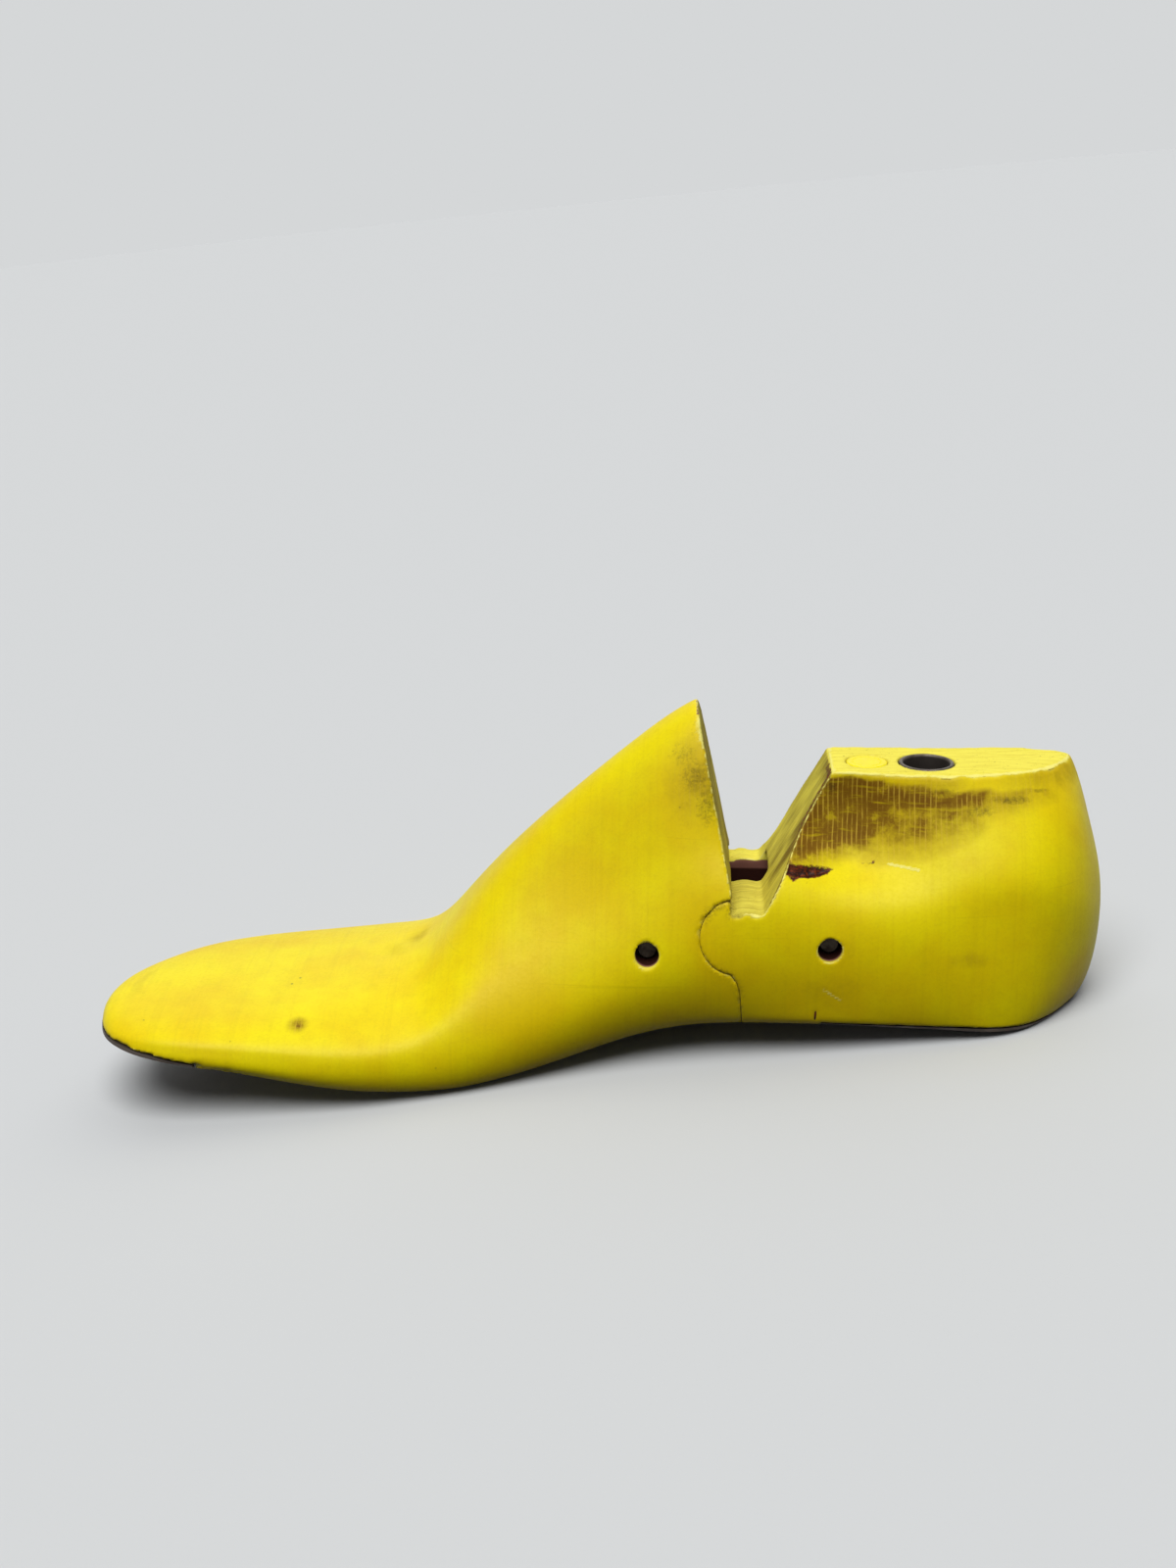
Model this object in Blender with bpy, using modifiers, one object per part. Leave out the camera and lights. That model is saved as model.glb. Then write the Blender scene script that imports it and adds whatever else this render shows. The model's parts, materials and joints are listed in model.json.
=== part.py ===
# Hinged plastic shoe last, right foot: forepart and heel part folding about a knuckle,
# held by a sprung drawbar link, with a steel thimble, plates and nails.
# Lengths are millimetres in the last's own frame: the fold axis is the origin, +X runs to
# the heel, +Z up and -Y to the medial side. The last is then laid down on its ball and heel.
import math

import bmesh
import bpy
import numpy as np
from mathutils import Matrix, Vector

MM = 0.001

# Hinge
KNUCKLE_RADIUS = 10.0
GAP = 0.3
SOCKET_RADIUS = KNUCKLE_RADIUS + GAP
SOCKET_END = 258.8
KNUCKLE_END = 260.1
JOINT_BELOW = ((0.0, -12.6), (0.8, -16.0), (2.0, -31.0))
JOINT_KERF = 0.4
SAW_REACH = 110.0
SAW_TOP = 90.0

# V cut
FORE_LIP = (-1.6, 10.175)
FORE_FACE_TOP = (-15.2, 74.0)
V_FLOOR_HEIGHT = 5.9
V_STEP_X = -2.0
SLOPE_FOOT = (6.6, 6.5)
SLOPE_TOP = (24.9, 38.5)
CONE_TOP = 38.5

# Sprung link: its pins lie equally far from the fold axis, so it turns by half the fold
PIN_ARM = 24.4
FRONT_PIN_ANGLE = math.radians(192.5)
REAR_PIN_ANGLE = math.radians(-7.24)
FRONT_PIN = (PIN_ARM * math.cos(FRONT_PIN_ANGLE), PIN_ARM * math.sin(FRONT_PIN_ANGLE))
REAR_PIN = (PIN_ARM * math.cos(REAR_PIN_ANGLE), PIN_ARM * math.sin(REAR_PIN_ANGLE))
LINK_LENGTH = math.dist(FRONT_PIN, REAR_PIN)
LINK_ANGLE = math.atan2(REAR_PIN[1] - FRONT_PIN[1], REAR_PIN[0] - FRONT_PIN[0])
LINK_SWING = math.radians(20.0)
PIN_DIAMETER = 5.8
PIN_HOLE_DIAMETER = PIN_DIAMETER + 2 * GAP
FRONT_PIN_SPAN = (-29.5, 28.0)
REAR_PIN_SPAN = (-29.0, 22.0)
SLOT_WIDTH = 16.0
SLOT_HALF_HEIGHT = 7.0
SLOT_REACH = 46.0

WIRE_RADIUS = 1.0
HOOK_OFFSET = 1.3
HOOK_LEG_RISE = 2.2
HOOK_FOOT_RISE = 5.6
HOOK_BEND = 1.5
HOOK_EYE_RADIUS = PIN_DIAMETER / 2 + GAP + WIRE_RADIUS
HOOK_NECK = 7.2

SPRING_DIAMETER = 12.0
SPRING_TURNS = 8
SPRING_SPAN = (-11.6, 12.3)
POINTS_A_TURN = 10
LINK_STRETCH = 0.75

# Cone fittings
THIMBLE_X = 50.8
THIMBLE_OUTER = 15.0
THIMBLE_INNER = 12.5
THIMBLE_LENGTH = 42.0
PLUG_X = 34.7
PLUG_DIAMETER = 11.0
PLUG_LENGTH = 8.0

# Plates and nails
PLATE_THICKNESS = 1.0
HEEL_PLATE_LINE = (
    (22.5, -25.7), (80.0, -27.7), (86.0, -27.6), (91.0, -27.0), (96.0, -25.8), (102.0, -23.8))
TOE_PLATE_LINE = ((-176.0, -30.9), (-165.0, -31.4), (-155.0, -32.3), (-143.0, -34.1))
HEEL_NAILS = (
    (29.0, -20.0), (29.0, 20.0), (46.0, 0.0), (58.0, -21.0), (58.0, 21.0), (80.0, -12.0), (80.0, 12.0))
TOE_NAILS = ((-150.0, -31.0), (-150.0, -12.0), (-150.0, 7.0), (-161.0, -25.0), (-161.0, -7.0))
NAIL_HEAD_DIAMETER = 4.2
NAIL_SHANK_DIAMETER = 1.8
NAIL_POINT_LENGTH = 2.4
HEEL_NAIL_LENGTH = 15.0
TOE_NAIL_LENGTH = 5.0

# Finishes: colour, roughness and metallic value
FINISHES = {
    "forepart_polyethylene": ((0.84, 0.66, 0.012), 0.42, 0.0),
    "heel_polyethylene": ((0.82, 0.64, 0.012), 0.45, 0.0),
    "plug_plastic": ((0.90, 0.80, 0.010), 0.40, 0.0),
    "heel_plate_steel": ((0.16, 0.13, 0.11), 0.50, 1.0),
    "toe_plate_steel": ((0.14, 0.11, 0.10), 0.55, 1.0),
    "thimble_steel": ((0.42, 0.40, 0.38), 0.38, 1.0),
    "nail_steel": ((0.30, 0.28, 0.26), 0.45, 1.0),
    "pin_steel": ((0.36, 0.34, 0.32), 0.40, 1.0),
    "hook_steel": ((0.34, 0.32, 0.30), 0.40, 1.0),
    "spring_steel": ((0.24, 0.23, 0.22), 0.38, 1.0),
}

# The last's lines, one row a station from the toe to the back of the heel:
# x, ridge height, bottom height, ridge y, medial edge y, lateral edge y
LINES = (
    (-173.4, -29.4, -30.8, -19.0, -19.6, -18.4),
    (-172.4, -27.2, -33.4, -18.5, -27.0, -10.0),
    (-168.8, -25.0, -34.4, -17.0, -36.5, 3.0),
    (-162.0, -23.9, -34.6, -14.0, -43.0, 14.0),
    (-152.0, -22.8, -34.9, -11.0, -47.0, 24.0),
    (-136.0, -22.4, -36.0, -8.0, -48.5, 34.0),
    (-116.0, -21.2, -39.6, -5.0, -48.5, 41.5),
    (-98.0, -18.6, -42.2, -4.0, -47.5, 45.5),
    (-85.0, -13.8, -43.1, -4.0, -45.5, 47.0),
    (-75.0, -2.6, -43.2, -4.0, -43.8, 47.3),
    (-64.0, 11.0, -42.0, -4.0, -41.5, 46.8),
    (-46.0, 28.8, -37.8, -3.5, -38.0, 44.5),
    (-28.0, 44.2, -32.4, -2.5, -36.0, 41.0),
    (-10.0, 56.2, -28.9, -1.0, -35.5, 38.0),
    (6.0, 58.0, -27.2, 0.5, -35.5, 36.0),
    (24.0, 50.0, -26.4, 1.5, -34.5, 34.5),
    (45.0, 46.0, -27.9, 1.5, -33.5, 33.5),
    (64.0, 46.0, -29.3, 2.0, -31.5, 32.0),
    (80.0, 46.0, -30.3, 5.0, -26.8, 27.8),
    (89.6, 40.0, -30.0, 9.5, -19.8, 20.8),
    (95.8, 24.0, -25.6, 6.5, -12.8, 13.8),
    (99.2, 10.0, -14.5, 2.5, -5.6, 6.6),
    (100.2, -0.5, -3.0, 0.5, -0.3, 1.3),
)

# Section levels, as fractions of the height down from the ridge, and the breadths there,
# as fractions of the medial and lateral half breadth
LEVELS = np.array((0.05, 0.20, 0.40, 0.52, 0.75, 0.93, 0.985))
ROUND_SIDE = (0.40, 0.71, 0.895, 0.955, 1.0, 0.97, 0.90)
BACK_SIDE = (0.44, 0.80, 0.98, 1.0, 0.92, 0.62, 0.32)
SECTIONS = (
    (-176.0, ROUND_SIDE, ROUND_SIDE),
    (-110.0, (0.40, 0.70, 0.89, 0.955, 1.0, 0.97, 0.89), (0.42, 0.72, 0.90, 0.96, 1.0, 0.97, 0.89)),
    (-84.0, (0.30, 0.56, 0.83, 0.93, 1.0, 0.965, 0.86), (0.36, 0.62, 0.84, 0.93, 1.0, 0.965, 0.86)),
    (-60.0, (0.23, 0.42, 0.66, 0.80, 0.99, 0.955, 0.82), (0.22, 0.40, 0.62, 0.76, 0.98, 0.96, 0.83)),
    (-34.0, (0.22, 0.42, 0.64, 0.80, 1.0, 0.92, 0.77), (0.19, 0.33, 0.50, 0.64, 0.97, 0.95, 0.82)),
    (-8.0, (0.26, 0.49, 0.70, 0.86, 1.0, 0.91, 0.77), (0.21, 0.29, 0.33, 0.35, 0.83, 0.95, 0.83)),
    (22.0, (0.25, 0.32, 0.50, 0.86, 1.0, 0.97, 0.91), (0.31, 0.34, 0.36, 0.38, 0.83, 0.97, 0.90)),
    (58.0, (0.30, 0.505, 0.80, 0.92, 1.0, 0.98, 0.90), (0.34, 0.43, 0.61, 0.76, 0.98, 0.98, 0.90)),
    (80.0, (0.19, 0.535, 0.875, 0.955, 1.0, 0.97, 0.85), (0.31, 0.545, 0.82, 0.93, 1.0, 0.97, 0.85)),
    (90.0, (0.22, 0.64, 0.93, 1.0, 0.99, 0.85, 0.58), (0.28, 0.57, 0.89, 1.0, 0.99, 0.85, 0.58)),
    (101.0, BACK_SIDE, BACK_SIDE),
)
# Rings along the loft, crowded towards the toe and the back, and points round each
RINGS = 80
END_CROWDING = 0.35
RING_POINTS = 40


def clear_scene():
    for obj in list(bpy.data.objects):
        bpy.data.objects.remove(obj, do_unlink=True)


def new_collection(name):
    collection = bpy.data.collections.new(name)
    bpy.context.scene.collection.children.link(collection)
    return collection


def material(name):
    """The finish of a kind of part, made once and shared by its repeats."""
    if name in bpy.data.materials:
        return bpy.data.materials[name]
    colour, roughness, metallic = FINISHES[name]
    mat = bpy.data.materials.new(name)
    mat.use_nodes = True
    shader = mat.node_tree.nodes["Principled BSDF"]
    shader.inputs["Base Color"].default_value = (*colour, 1.0)
    shader.inputs["Roughness"].default_value = roughness
    shader.inputs["Metallic"].default_value = metallic
    mat.diffuse_color = (*colour, 1.0)
    return mat


def empty(name, x, z, parent=None):
    """An axis to hang a moving body on, at x, z in the last's frame."""
    obj = bpy.data.objects.new(name, None)
    obj.empty_display_size = 0.02
    parts.objects.link(obj)
    obj["design"] = (x, z)
    if parent is not None:
        obj.parent = parent
        px, pz = parent["design"]
        obj.location = Vector((x - px, 0.0, z - pz)) * MM
    return obj


def add_part(name, mesh, finish, parent):
    """A node whose mesh is in the last's frame: its origin moves to its parent's axis."""
    px, pz = parent["design"]
    mesh.transform(Matrix.Translation(Vector((-px, 0.0, -pz)) * MM))
    obj = bpy.data.objects.new(name, mesh)
    mesh.materials.clear()
    mesh.materials.append(material(finish))
    mesh.shade_smooth()
    mesh.set_sharp_from_angle(angle=math.radians(35.0))
    parts.objects.link(obj)
    obj.parent = parent
    return obj


def as_cutter(obj):
    for collection in list(obj.users_collection):
        collection.objects.unlink(obj)
    cutters.objects.link(obj)
    obj.hide_render = True
    obj.display_type = "WIRE"
    obj.parent = last
    return obj


def cut(obj, cutter, operation="DIFFERENCE"):
    modifier = obj.modifiers.new(cutter.name, "BOOLEAN")
    modifier.operation = operation
    modifier.solver = "EXACT"
    modifier.object = cutter


def spline_through(knots, rows):
    """A natural cubic through rows of values at the knots."""
    knots = np.asarray(knots, float)
    rows = np.asarray(rows, float)
    step = np.diff(knots)
    count = len(knots)
    system = np.eye(count)
    bend = np.zeros_like(rows)
    for i in range(1, count - 1):
        system[i, i - 1:i + 2] = step[i - 1], 2 * (step[i - 1] + step[i]), step[i]
        bend[i] = 6 * ((rows[i + 1] - rows[i]) / step[i] - (rows[i] - rows[i - 1]) / step[i - 1])
    bend = np.linalg.solve(system, bend)

    def at(values):
        values = np.atleast_1d(values)
        k = np.clip(np.searchsorted(knots, values) - 1, 0, count - 2)
        width = step[k][:, None]
        left = (knots[k + 1] - values)[:, None]
        right = (values - knots[k])[:, None]
        curve = (bend[k] * left ** 3 + bend[k + 1] * right ** 3) / (6 * width)
        line = (rows[k] / width - bend[k] * width / 6) * left
        return curve + line + (rows[k + 1] / width - bend[k + 1] * width / 6) * right

    return at


def section_ring(station, medial, lateral):
    """One closed ring of the last, smooth through the ridge, both sides and the bottom."""
    x, ridge, bottom, ridge_y, medial_edge, lateral_edge = station
    heights = ridge - LEVELS * (ridge - bottom)
    sole_y = 0.3 * (medial_edge + lateral_edge) + 0.4 * ridge_y
    medial_side = np.stack((ridge_y + (medial_edge - ridge_y) * medial, heights), axis=1)
    lateral_side = np.stack((ridge_y + (lateral_edge - ridge_y) * lateral, heights), axis=1)
    top = ((ridge_y, ridge),)
    points = np.concatenate((top, medial_side, ((sole_y, bottom),), lateral_side[::-1], top))
    chord = np.sqrt(np.linalg.norm(np.diff(points, axis=0), axis=1) + 1e-6)
    knots = np.concatenate(((0.0,), np.cumsum(chord)))
    wrapped = np.concatenate((points[-4:-1], points, points[1:4]))
    wrapped_knots = np.concatenate((knots[-4:-1] - knots[-1], knots, knots[1:4] + knots[-1]))
    ring = spline_through(wrapped_knots, wrapped)(np.linspace(0.0, knots[-1], RING_POINTS, endpoint=False))
    return [Vector((x, y, z)) * MM for y, z in ring]


def blank_mesh():
    """The whole last before it is cut: a loft through its lines and sections."""
    lines = np.array(LINES)
    height = lines[:, 1] - lines[:, 2]
    breadth = lines[:, 5] - lines[:, 4]
    steps = np.sqrt(np.diff(lines[:, 0]) ** 2 + 0.5 * np.diff(height) ** 2 + 0.5 * np.diff(breadth) ** 2)
    knots = np.concatenate(((0.0,), np.cumsum(steps)))
    share = np.linspace(0.0, 1.0, RINGS)
    share = (1.0 - END_CROWDING) * share + END_CROWDING * 0.5 * (1.0 - np.cos(math.pi * share))
    stations = spline_through(knots, lines)(share * knots[-1])
    section_at = spline_through([row[0] for row in SECTIONS], [row[1] + row[2] for row in SECTIONS])
    bm = bmesh.new()
    previous = None
    for station in stations:
        widths = section_at(station[0])[0]
        ring = [bm.verts.new(p) for p in section_ring(station, widths[:7], widths[7:])]
        if previous is None:
            bm.faces.new(ring)
        else:
            for i in range(RING_POINTS):
                j = (i + 1) % RING_POINTS
                bm.faces.new((previous[i], previous[j], ring[j], ring[i]))
        previous = ring
    bm.faces.new(previous[::-1])
    bmesh.ops.recalc_face_normals(bm, faces=bm.faces)
    mesh = bpy.data.meshes.new("blank")
    bm.to_mesh(mesh)
    bm.free()
    return mesh


def mesh_of(obj):
    """A curve or modified object as a plain welded mesh, with the object removed."""
    bpy.context.view_layer.update()
    evaluated = obj.evaluated_get(bpy.context.evaluated_depsgraph_get())
    mesh = bpy.data.meshes.new_from_object(evaluated)
    mesh.transform(obj.matrix_world)
    bm = bmesh.new()
    bm.from_mesh(mesh)
    bmesh.ops.remove_doubles(bm, verts=bm.verts, dist=1e-6)
    bmesh.ops.recalc_face_normals(bm, faces=bm.faces)
    bm.to_mesh(mesh)
    bm.free()
    bpy.data.objects.remove(obj, do_unlink=True)
    return mesh


def slab_mesh(name, outline, y_low, y_high):
    """A flat outline in X and Z, made thick along Y."""
    curve = bpy.data.curves.new(name, "CURVE")
    curve.dimensions = "2D"
    curve.fill_mode = "BOTH"
    curve.extrude = 0.5 * (y_high - y_low) * MM
    spline = curve.splines.new("POLY")
    spline.points.add(len(outline) - 1)
    for point, (x, z) in zip(spline.points, outline):
        point.co = (x * MM, z * MM, 0.0, 1.0)
    spline.use_cyclic_u = True
    obj = bpy.data.objects.new(name, curve)
    middle = Matrix.Translation((0.0, 0.5 * (y_low + y_high) * MM, 0.0))
    obj.matrix_world = middle @ Matrix.Rotation(math.pi / 2, 4, "X")
    cutters.objects.link(obj)
    return mesh_of(obj)


def cylinder_mesh(name, diameter, start, end, sides=24):
    start, end = Vector(start), Vector(end)
    radius = 0.5 * diameter * MM
    turn = (end - start).to_track_quat("Z", "Y").to_matrix().to_4x4()
    matrix = Matrix.Translation((start + end) * 0.5 * MM) @ turn
    bm = bmesh.new()
    bmesh.ops.create_cone(
        bm, cap_ends=True, segments=sides, radius1=radius, radius2=radius,
        depth=(end - start).length * MM, matrix=matrix)
    mesh = bpy.data.meshes.new(name)
    bm.to_mesh(mesh)
    bm.free()
    return mesh


def turned_mesh(name, profile, steps, matrix):
    """A profile of radius and height, run down its outer side and turned about Z."""
    mesh = bpy.data.meshes.new(name)
    closed = profile[0] == profile[-1]
    points = profile[:-1] if closed else profile
    edges = [(i, i + 1) for i in range(len(points) - 1)]
    if closed:
        edges.append((len(points) - 1, 0))
    mesh.from_pydata([(r * MM, 0.0, z * MM) for r, z in points], edges, [])
    obj = bpy.data.objects.new(name, mesh)
    obj.matrix_world = matrix
    cutters.objects.link(obj)
    screw = obj.modifiers.new("turn", "SCREW")
    screw.steps = steps
    screw.render_steps = steps
    screw.use_merge_vertices = True
    screw.merge_threshold = 1e-5
    return mesh_of(obj)


def wire_mesh(name, points, matrix, bevel_resolution=2):
    """One unbroken round wire through the points."""
    curve = bpy.data.curves.new(name, "CURVE")
    curve.dimensions = "3D"
    curve.bevel_depth = WIRE_RADIUS * MM
    curve.bevel_resolution = bevel_resolution
    curve.use_fill_caps = True
    spline = curve.splines.new("POLY")
    spline.points.add(len(points) - 1)
    for point, place in zip(spline.points, points):
        point.co = (*(Vector(place) * MM), 1.0)
    obj = bpy.data.objects.new(name, curve)
    obj.matrix_world = matrix
    cutters.objects.link(obj)
    return mesh_of(obj)


def arc(centre, radius, start, end, count):
    """Points on a circle, from start to end in degrees."""
    angles = np.radians(np.linspace(start, end, count))
    return [(centre[0] + radius * math.cos(a), centre[1] + radius * math.sin(a)) for a in angles]


def fore_cut_outline():
    """What the saw takes from the forepart: the V, the socket and everything behind it."""
    lip = math.degrees(math.atan2(FORE_LIP[1], FORE_LIP[0]))
    socket = arc((0.0, 0.0), SOCKET_RADIUS, lip, SOCKET_END, 22)
    below = list(JOINT_BELOW) + [(JOINT_BELOW[-1][0], -SAW_REACH)]
    behind = [(1.2 * SAW_REACH, -SAW_REACH), (1.2 * SAW_REACH, FORE_FACE_TOP[1])]
    return [FORE_FACE_TOP] + socket + below + behind


def heel_cut_outline():
    """What the saw takes from the heel part: the V, all round the knuckle and the forepart."""
    step_angle = math.degrees(math.acos(V_STEP_X / KNUCKLE_RADIUS))
    slope_run = (SLOPE_TOP[0] - SLOPE_FOOT[0]) / (SLOPE_TOP[1] - SLOPE_FOOT[1])
    slope_end = (SLOPE_FOOT[0] + slope_run * (SAW_TOP - SLOPE_FOOT[1]), SAW_TOP)
    height = V_FLOOR_HEIGHT
    floor = [SLOPE_FOOT, (4.6, height + 0.45), (1.8, height + 0.35), (V_STEP_X, height)]
    knuckle = arc((0.0, 0.0), KNUCKLE_RADIUS, step_angle, KNUCKLE_END, 24)
    below = [(x + JOINT_KERF, z) for x, z in JOINT_BELOW]
    below.append((below[-1][0], -SAW_REACH))
    ahead = [(-2 * SAW_REACH, -SAW_REACH), (-2 * SAW_REACH, SAW_TOP)]
    return [slope_end] + floor + knuckle + below + ahead


def slot_outline(pin, rest, folded):
    """The fan that the link sweeps about a pin, as an outline round its clearance."""
    low, high = sorted((rest, folded))
    fan = arc(pin, SLOT_HALF_HEIGHT, math.degrees(high) + 90.0, math.degrees(low) + 270.0, 12)
    for angle, side in ((low, -1.0), (high, 1.0)):
        along = Vector((math.cos(angle), math.sin(angle)))
        across = Vector((-math.sin(angle), math.cos(angle))) * side * SLOT_HALF_HEIGHT
        fan.append(tuple(Vector(pin) + along * SLOT_REACH + across))
    return fan


def plate_band(line, low, high):
    """An outline between two offsets above a plate's under side."""
    return [(x, z + low) for x, z in line] + [(x, z + high) for x, z in reversed(line)]


def line_height(line, x):
    return float(np.interp(x, [p[0] for p in line], [p[1] for p in line]))


def line_slope(line, x):
    return math.atan2(line_height(line, x + 1.0) - line_height(line, x - 1.0), 2.0)


def nail_place(line, x, y):
    """A nail's frame: its head lies on the plate's under side, and it points up into the body."""
    place = Matrix.Translation(Vector((x, y, line_height(line, x) + 0.05)) * MM)
    return place @ Matrix.Rotation(-line_slope(line, x), 4, "Y")


def joined_mesh(name, meshes):
    bm = bmesh.new()
    for mesh in meshes:
        bm.from_mesh(mesh)
    result = bpy.data.meshes.new(name)
    bm.to_mesh(result)
    bm.free()
    return result


def cutter_from(name, *meshes):
    mesh = meshes[0] if len(meshes) == 1 else joined_mesh(name, meshes)
    return as_cutter(bpy.data.objects.new(name, mesh))


def nail_cutter(name, line, places, length):
    """Room for the nails: a countersink in the plate and a pilot hole above it."""
    wide = NAIL_HEAD_DIAMETER + 2 * GAP
    narrow = NAIL_SHANK_DIAMETER + 2 * GAP
    deep = length + 0.6
    profile = [
        (0.0, deep), (0.5 * narrow, deep), (0.5 * narrow, 1.2), (0.5 * wide, 0.0), (0.5 * wide, -3.0),
        (0.0, -3.0)]
    meshes = [turned_mesh(name, profile, 12, nail_place(line, x, y)) for x, y in places]
    return cutter_from(name, *meshes)


def make_bodies():
    """The forepart and the heel part, sawn from one blank as the real last is."""
    blank = cutter_from("blank", blank_mesh())
    reach = SAW_REACH
    fore_saw = cutter_from("fore_saw", slab_mesh("fore_saw", fore_cut_outline(), -reach, reach))
    heel_saw = cutter_from("heel_saw", slab_mesh("heel_saw", heel_cut_outline(), -reach, reach))
    half_slot = 0.5 * SLOT_WIDTH
    fore_slot = cutter_from("fore_slot", slab_mesh(
        "fore_slot", slot_outline(FRONT_PIN, LINK_ANGLE, LINK_ANGLE + LINK_SWING), -half_slot, half_slot))
    heel_slot = cutter_from("heel_slot", slab_mesh(
        "heel_slot", slot_outline(REAR_PIN, LINK_ANGLE + math.pi, LINK_ANGLE + math.pi - LINK_SWING),
        -half_slot, half_slot))
    front_bore, rear_bore = [
        cutter_from(name, cylinder_mesh(name, PIN_HOLE_DIAMETER, (x, -reach, z), (x, reach, z)))
        for name, (x, z) in (("front_pin_bore", FRONT_PIN), ("rear_pin_bore", REAR_PIN))]
    above_cone = [(0.0, CONE_TOP), (reach, CONE_TOP), (reach, SAW_TOP), (0.0, SAW_TOP)]
    cone_plane = cutter_from("cone_plane", slab_mesh("cone_plane", above_cone, -reach, reach))
    thimble_bore = cutter_from("thimble_bore", cylinder_mesh(
        "thimble_bore", THIMBLE_OUTER + 2 * GAP, (THIMBLE_X, 0.0, CONE_TOP - THIMBLE_LENGTH - 1.0),
        (THIMBLE_X, 0.0, CONE_TOP + 5.0), sides=32))
    plug_bore = cutter_from("plug_bore", cylinder_mesh(
        "plug_bore", PLUG_DIAMETER + 2 * GAP, (PLUG_X, 0.0, CONE_TOP - PLUG_LENGTH - 0.5),
        (PLUG_X, 0.0, CONE_TOP + 5.0), sides=32))

    heel_line, toe_line = HEEL_PLATE_LINE, TOE_PLATE_LINE
    recess = PLATE_THICKNESS + GAP
    heel_seat, toe_seat = [
        cutter_from(name, slab_mesh(name, plate_band(line, -20.0, recess), -reach, reach))
        for name, line in (("heel_seat", heel_line), ("toe_seat", toe_line))]
    heel_nail_room = nail_cutter("heel_nail_room", heel_line, HEEL_NAILS, HEEL_NAIL_LENGTH)
    toe_nail_room = nail_cutter("toe_nail_room", toe_line, TOE_NAILS, TOE_NAIL_LENGTH)

    forepart = add_part("forepart", blank.data.copy(), "forepart_polyethylene", last)
    for cutter in (fore_saw, fore_slot, front_bore, toe_seat, toe_nail_room):
        cut(forepart, cutter)
    heel_part = add_part("heel_part", blank.data.copy(), "heel_polyethylene", fold_axis)
    for cutter in (
            heel_saw, heel_slot, rear_bore, cone_plane, thimble_bore, plug_bore, heel_seat, heel_nail_room):
        cut(heel_part, cutter)

    heel_run = [(heel_line[0][0] + GAP, heel_line[0][1])] + list(heel_line[1:])
    toe_run = list(toe_line[:-1]) + [(toe_line[-1][0] - GAP, toe_line[-1][1])]
    for name, run, room, parent in (
            ("heel_plate", heel_run, heel_nail_room, fold_axis), ("toe_plate", toe_run, toe_nail_room, last)):
        band = plate_band(run, 0.0, PLATE_THICKNESS)
        plate = add_part(name, slab_mesh(name, band, -reach, reach), f"{name}_steel", parent)
        cut(plate, blank, "INTERSECT")
        cut(plate, room)


def make_nails():
    head = 0.5 * NAIL_HEAD_DIAMETER
    shank = 0.5 * NAIL_SHANK_DIAMETER
    for kind, line, places, length, parent in (
            ("heel_nail", HEEL_PLATE_LINE, HEEL_NAILS, HEEL_NAIL_LENGTH, fold_axis),
            ("toe_nail", TOE_PLATE_LINE, TOE_NAILS, TOE_NAIL_LENGTH, last)):
        profile = [
            (0.0, length), (shank, length - NAIL_POINT_LENGTH), (shank, 1.2), (head, 0.25), (head, 0.0),
            (0.0, 0.0)]
        for number, (x, y) in enumerate(places, 1):
            name = f"{kind}_{number}"
            add_part(name, turned_mesh(name, profile, 10, nail_place(line, x, y)), "nail_steel", parent)


def make_cone_fittings():
    outer, inner = 0.5 * THIMBLE_OUTER, 0.5 * THIMBLE_INNER
    chamfer = 0.4
    profile = [
        (outer - chamfer, 0.0), (outer, -chamfer), (outer, chamfer - THIMBLE_LENGTH),
        (outer - chamfer, -THIMBLE_LENGTH), (inner, -THIMBLE_LENGTH), (inner, -chamfer),
        (inner + chamfer, 0.0), (outer - chamfer, 0.0)]
    place = Matrix.Translation(Vector((THIMBLE_X, 0.0, CONE_TOP)) * MM)
    add_part("jack_thimble", turned_mesh("jack_thimble", profile, 32, place), "thimble_steel", fold_axis)

    radius = 0.5 * PLUG_DIAMETER
    profile = [(0.0, 0.0), (radius - 0.3, 0.0), (radius, -0.3), (radius, -PLUG_LENGTH), (0.0, -PLUG_LENGTH)]
    place = Matrix.Translation(Vector((PLUG_X, 0.0, CONE_TOP - 0.1)) * MM)
    add_part("marker_plug", turned_mesh("marker_plug", profile, 32, place), "plug_plastic", fold_axis)


def make_pins():
    for name, (x, z), (low, high), parent in (
            ("front_pin", FRONT_PIN, FRONT_PIN_SPAN, last), ("rear_pin", REAR_PIN, REAR_PIN_SPAN, fold_axis)):
        radius = 0.5 * PIN_DIAMETER
        length = high - low
        profile = [
            (0.0, length), (radius - 0.6, length), (radius, length - 0.6), (radius, 0.6), (radius - 0.6, 0.0),
            (0.0, 0.0)]
        place = Matrix.Translation(Vector((x, low, z)) * MM) @ Matrix.Rotation(-math.pi / 2, 4, "X")
        add_part(name, turned_mesh(name, profile, 20, place), "pin_steel", parent)


def hook_points(foot, y):
    """Half a hook mirrored to a whole: foot, leg, neck and the eye round its pin at the origin."""
    neck_angle = math.atan2(HOOK_LEG_RISE, HOOK_NECK)
    tangent = neck_angle + math.acos(HOOK_EYE_RADIUS / math.hypot(HOOK_NECK, HOOK_LEG_RISE))
    bend = arc((foot - HOOK_BEND, HOOK_LEG_RISE + HOOK_BEND), HOOK_BEND, 0.0, -90.0, 4)
    upper = [(foot, HOOK_FOOT_RISE)] + bend + [(HOOK_NECK, HOOK_LEG_RISE)]
    eye = arc((0.0, 0.0), HOOK_EYE_RADIUS, math.degrees(tangent), 360.0 - math.degrees(tangent), 15)
    lower = [(x, -z) for x, z in reversed(upper)]
    return [(x, y, z) for x, z in upper + eye + lower]


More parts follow.
